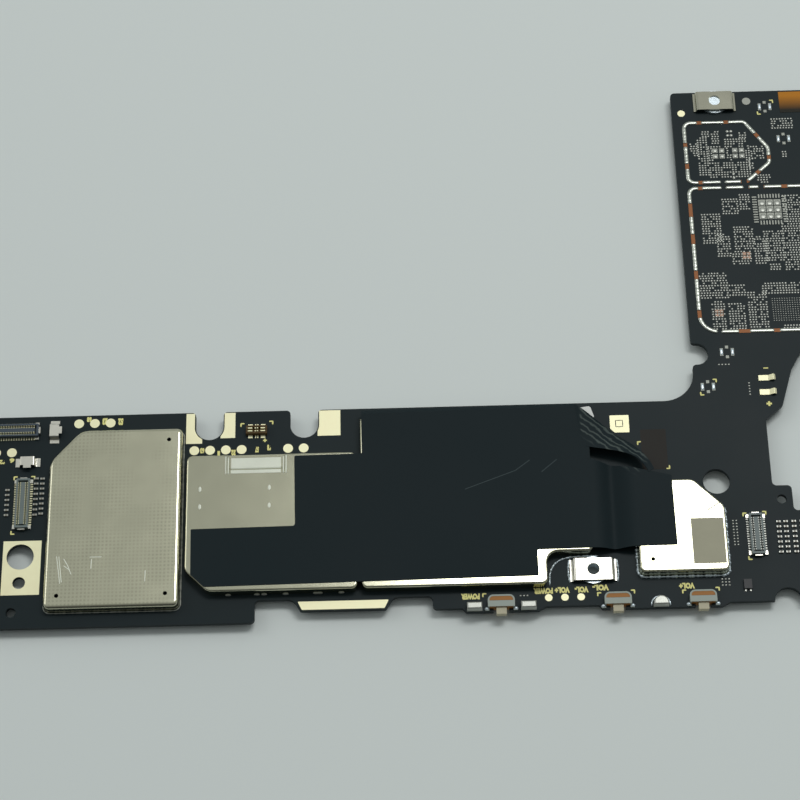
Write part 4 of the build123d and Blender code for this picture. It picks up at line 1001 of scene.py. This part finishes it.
# corner marks: node, offset as above, and the directions in which the two strokes run
CORNER_MARKS = (
    ("power_key_frame", -2.75, 0.5, 1, -1),
    ("volume_down_key_frame", -3.0, 0.2, 1, -1),
    ("volume_down_key_frame", 2.6, 0.5, -1, -1),
    ("volume_up_key_frame", -3.0, 0.3, 1, -1),
    ("volume_up_key_frame", 2.55, 0.6, -1, -1),
    ("camera_connector_tabs", -1.6, 0.4, 1, -1),
    ("camera_connector_tabs", 1.6, 0.4, -1, -1),
    ("camera_connector_tabs", -1.6, -9.3, 1, 1),
    ("battery_connector_body", -2.5, 0.7, 1, -1),
    ("battery_connector_body", 2.5, 1.0, -1, -1),
    ("audio_connector_tabs", -1.8, 0.1, 1, -1),
    ("audio_connector_tabs", 1.7, 0.3, -1, -1),
    ("audio_connector_tabs", -1.5, -7.6, 1, 1),
    ("shield_can_right", -5.7, 7.3, 1, -1),
    ("shield_can_right", -1.0, 2.6, -1, 1),
    ("tinned_lands", -6.7, -52.9, -1, -1),
    ("tinned_lands", -9.3, -55.6, 1, 1),
    ("tinned_lands", 6.9, -0.6, -1, -1),
    ("tinned_lands", 4.2, -3.3, 1, 1),
)
PATCH_BOX, PATCH_T = (-5.2, -1.2, 2.5, 9.4), 0.008  # printed patch beyond the right can
# ring in the square land: middle from the earth lands' lower left corner, half its side, its points in turn
FIDUCIAL_AT, FIDUCIAL_HALF = (96.1, 30.0), 0.55
SQUARE = ((-1, -1), (0, -1), (1, -1), (1, 0), (1, 1), (0, 1), (-1, 1), (-1, 0))


class BOARD_OT_legends(bpy.types.Operator):
    """Print the key names, the corner marks and the numbers beside the test pads"""

    bl_idname = "board.legends"
    bl_label = "Legends"

    def execute(self, context):
        height = context.scene.board_detail.letter_height / MM
        for n, (text, node, dx, dy, width) in enumerate(WORDS):
            word(f"legend_{n}", text, over(node, dx, dy), width, height)
        marks = []
        for node, dx, dy, right, up in CORNER_MARKS:
            x, y, level = over(node, dx, dy)
            line = np.array(((x + right * MARK, y), (x, y), (x, y + up * MARK)))
            marks.append(bead(spaced(line, 0.08), level, width=0.24, height=0.02))
        piece("corner_marks", joined(marks), "gold_plating", "legend_ink")
        for n, (text, node, dx, dy, width, tall) in enumerate(NUMBERS):
            word(f"number_{n}", text, over(node, dx, dy), width, tall)
        return {"FINISHED"}


class BOARD_OT_printed_fields(bpy.types.Operator):
    """Lay the dark printed patch and the ring in the square land"""

    bl_idname = "board.printed_fields"
    bl_label = "Printed fields"

    def execute(self, context):
        x, y, level = over("shield_can_right")
        x0, x1, y0, y1 = PATCH_BOX
        patch = slab(x + x0, x + x1, y + y0, y + y1, level, level + PATCH_T)
        piece("printed_patch", patch, "solder_mask", "printed_patch", smooth=False)
        x, y, land = corner("earth_lands", *FIDUCIAL_AT)
        ring = np.array([(x + dx * FIDUCIAL_HALF, y + dy * FIDUCIAL_HALF) for dx, dy in SQUARE])
        piece("fiducial_ring", bead(ring, land, width=0.13, height=0.006, closed=True), "solder_mask")
        return {"FINISHED"}


# ---------------------------------------------------------------- stage

CAMERA_AT = Vector((62.52, -136.86, 330.81)) * MM
CAMERA_TURN, CAMERA_DOWN, CAMERA_ROLL = -1.248, 63.83, -2.586  # degrees: clockwise from +Y, below level, roll
# lights in metres: centre, aim, width and depth
FAR_PANEL = ((0.29, 0.31, 0.75), (0.29, 0.31, 0), 0.46, 0.2)
LEFT_PANEL = ((-0.7, 0.35, 0.6), (0.02, 0, 0), 0.4, 0.5)
LEFT_SHARE = 0.4  # power of the left panel over that of the far one
NEAR_DIMMING = 0.12  # light of the room's near side over that of its far side


def camera_matrix():
    """Camera placed and turned: its columns are the right, up and backward directions."""
    turn, down, roll = (radians(a) for a in (CAMERA_TURN, CAMERA_DOWN, CAMERA_ROLL))
    ahead = Vector((sin(turn) * cos(down), cos(turn) * cos(down), -sin(down)))
    level = Vector((cos(turn), -sin(turn), 0))
    upright = level.cross(ahead)
    right = cos(roll) * level + sin(roll) * upright
    up = -sin(roll) * level + cos(roll) * upright
    return Matrix.Translation(CAMERA_AT) @ Matrix((right, up, -ahead)).transposed().to_4x4()


def room(strength):
    """Even light of a room whose near side, behind the camera, is dim: it falls with the direction's Y."""
    world = bpy.data.worlds.new("room")
    world.use_nodes = True
    tree = world.node_tree
    tree.nodes.clear()
    way = add(tree, "SeparateXYZ", links={0: add(tree, "TexCoord").outputs["Generated"]})
    ramp = {"From Min": -0.8, "From Max": 0.1, "To Min": NEAR_DIMMING * strength, "To Max": strength}
    level = add(tree, "MapRange", ramp, {"Value": way.outputs["Y"]})
    tint = {"Color": opaque(linear("#EAF0F0"))}
    glow = add(tree, "Background", tint, {"Strength": level.outputs["Result"]})
    add(tree, "OutputWorld", links={"Surface": glow.outputs["Background"]})
    return world


def flat_panel(name, centre, aim, width, depth, power):
    """Area light at centre, facing aim."""
    light = bpy.data.lights.new(name, "AREA")
    light.shape, light.size, light.size_y, light.energy = "RECTANGLE", width, depth, power
    lamp = bpy.data.objects.new(name, light)
    lamp.location = centre
    lamp.rotation_euler = (Vector(aim) - Vector(centre)).to_track_quat("-Z", "Y").to_euler()
    bpy.context.scene.collection.objects.link(lamp)
    lamp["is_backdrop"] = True


class BOARD_OT_stage(bpy.types.Operator):
    """Lay the floor, hang the lights and place the camera"""

    bl_idname = "board.stage"
    bl_label = "Stage"

    def execute(self, context):
        stage = context.scene.board_stage
        side, low = stage.floor_size / 2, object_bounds()[0].z
        mesh = bpy.data.meshes.new("floor")
        ends = [(-side, -side, low), (side, -side, low), (side, side, low), (-side, side, low)]
        mesh.from_pydata(ends, [], [(0, 1, 2, 3)])
        # a pale, even ground that takes soft shadows and no reflections
        pale = context.scene.board_finishes.floor
        mesh.materials.append(grained("laminate table top, matt", pale, 0.7, 3.0, 0.004, spread=0.01))
        floor = bpy.data.objects.new("floor", mesh)
        context.scene.collection.objects.link(floor)
        floor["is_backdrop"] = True
        context.scene.world = room(stage.sky)
        flat_panel("far panel", *FAR_PANEL, stage.panel_power)
        flat_panel("left panel", *LEFT_PANEL, LEFT_SHARE * stage.panel_power)
        data = bpy.data.cameras.new("camera")
        data.lens, data.sensor_width = stage.lens, 36
        data.clip_start, data.clip_end = 0.01, 20
        camera = bpy.data.objects.new("camera", data)
        camera.matrix_world = camera_matrix()
        context.scene.collection.objects.link(camera)
        context.scene.camera = camera
        context.scene.view_settings.view_transform = "Standard"
        return {"FINISHED"}


# ---------------------------------------------------------------- panel and registration


class BOARD_PT_panel(bpy.types.Panel):
    """Buttons and settings of the motherboard"""

    bl_idname = "BOARD_PT_panel"
    bl_label = "Tablet motherboard"
    bl_space_type = "VIEW_3D"
    bl_region_type = "UI"
    bl_category = "Motherboard"

    def draw(self, context):
        for group in (context.scene.board_finishes, context.scene.board_detail, context.scene.board_stage):
            for name in group.bl_rna.properties.keys():
                if name not in ("rna_type", "name"):
                    self.layout.prop(group, name)
        for operator in OPERATORS:
            self.layout.operator(operator.bl_idname)


OPERATORS = (
    BOARD_OT_finishes,
    BOARD_OT_arm_beads,
    BOARD_OT_arm_lands,
    BOARD_OT_arm_domes,
    BOARD_OT_can_beads,
    BOARD_OT_key_solder,
    BOARD_OT_lid_marks,
    BOARD_OT_window,
    BOARD_OT_tape_marks,
    BOARD_OT_side_solder,
    BOARD_OT_legends,
    BOARD_OT_printed_fields,
    BOARD_OT_stage,
)
CLASSES = (BOARD_PG_finishes, BOARD_PG_detail, BOARD_PG_stage, *OPERATORS, BOARD_PT_panel)


def register():
    """Registers the classes and hangs their settings on the scene."""
    for cls in CLASSES:
        bpy.utils.register_class(cls)
    bpy.types.Scene.board_finishes = bpy.props.PointerProperty(type=BOARD_PG_finishes)
    bpy.types.Scene.board_detail = bpy.props.PointerProperty(type=BOARD_PG_detail)
    bpy.types.Scene.board_stage = bpy.props.PointerProperty(type=BOARD_PG_stage)


def unregister():
    """Takes the settings off the scene and unregisters the classes."""
    del bpy.types.Scene.board_stage
    del bpy.types.Scene.board_detail
    del bpy.types.Scene.board_finishes
    for cls in reversed(CLASSES):
        bpy.utils.unregister_class(cls)


def main():
    """Dresses the board."""
    register()
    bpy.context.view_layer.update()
    bpy.ops.board.finishes()
    bpy.ops.board.arm_beads()
    bpy.ops.board.arm_lands()
    bpy.ops.board.arm_domes()
    bpy.ops.board.can_beads()
    bpy.ops.board.key_solder()
    bpy.ops.board.lid_marks()
    bpy.ops.board.window()
    bpy.ops.board.tape_marks()
    bpy.ops.board.side_solder()
    bpy.ops.board.legends()
    bpy.ops.board.printed_fields()
    bpy.ops.board.stage()


if __name__ == "__main__":
    main()
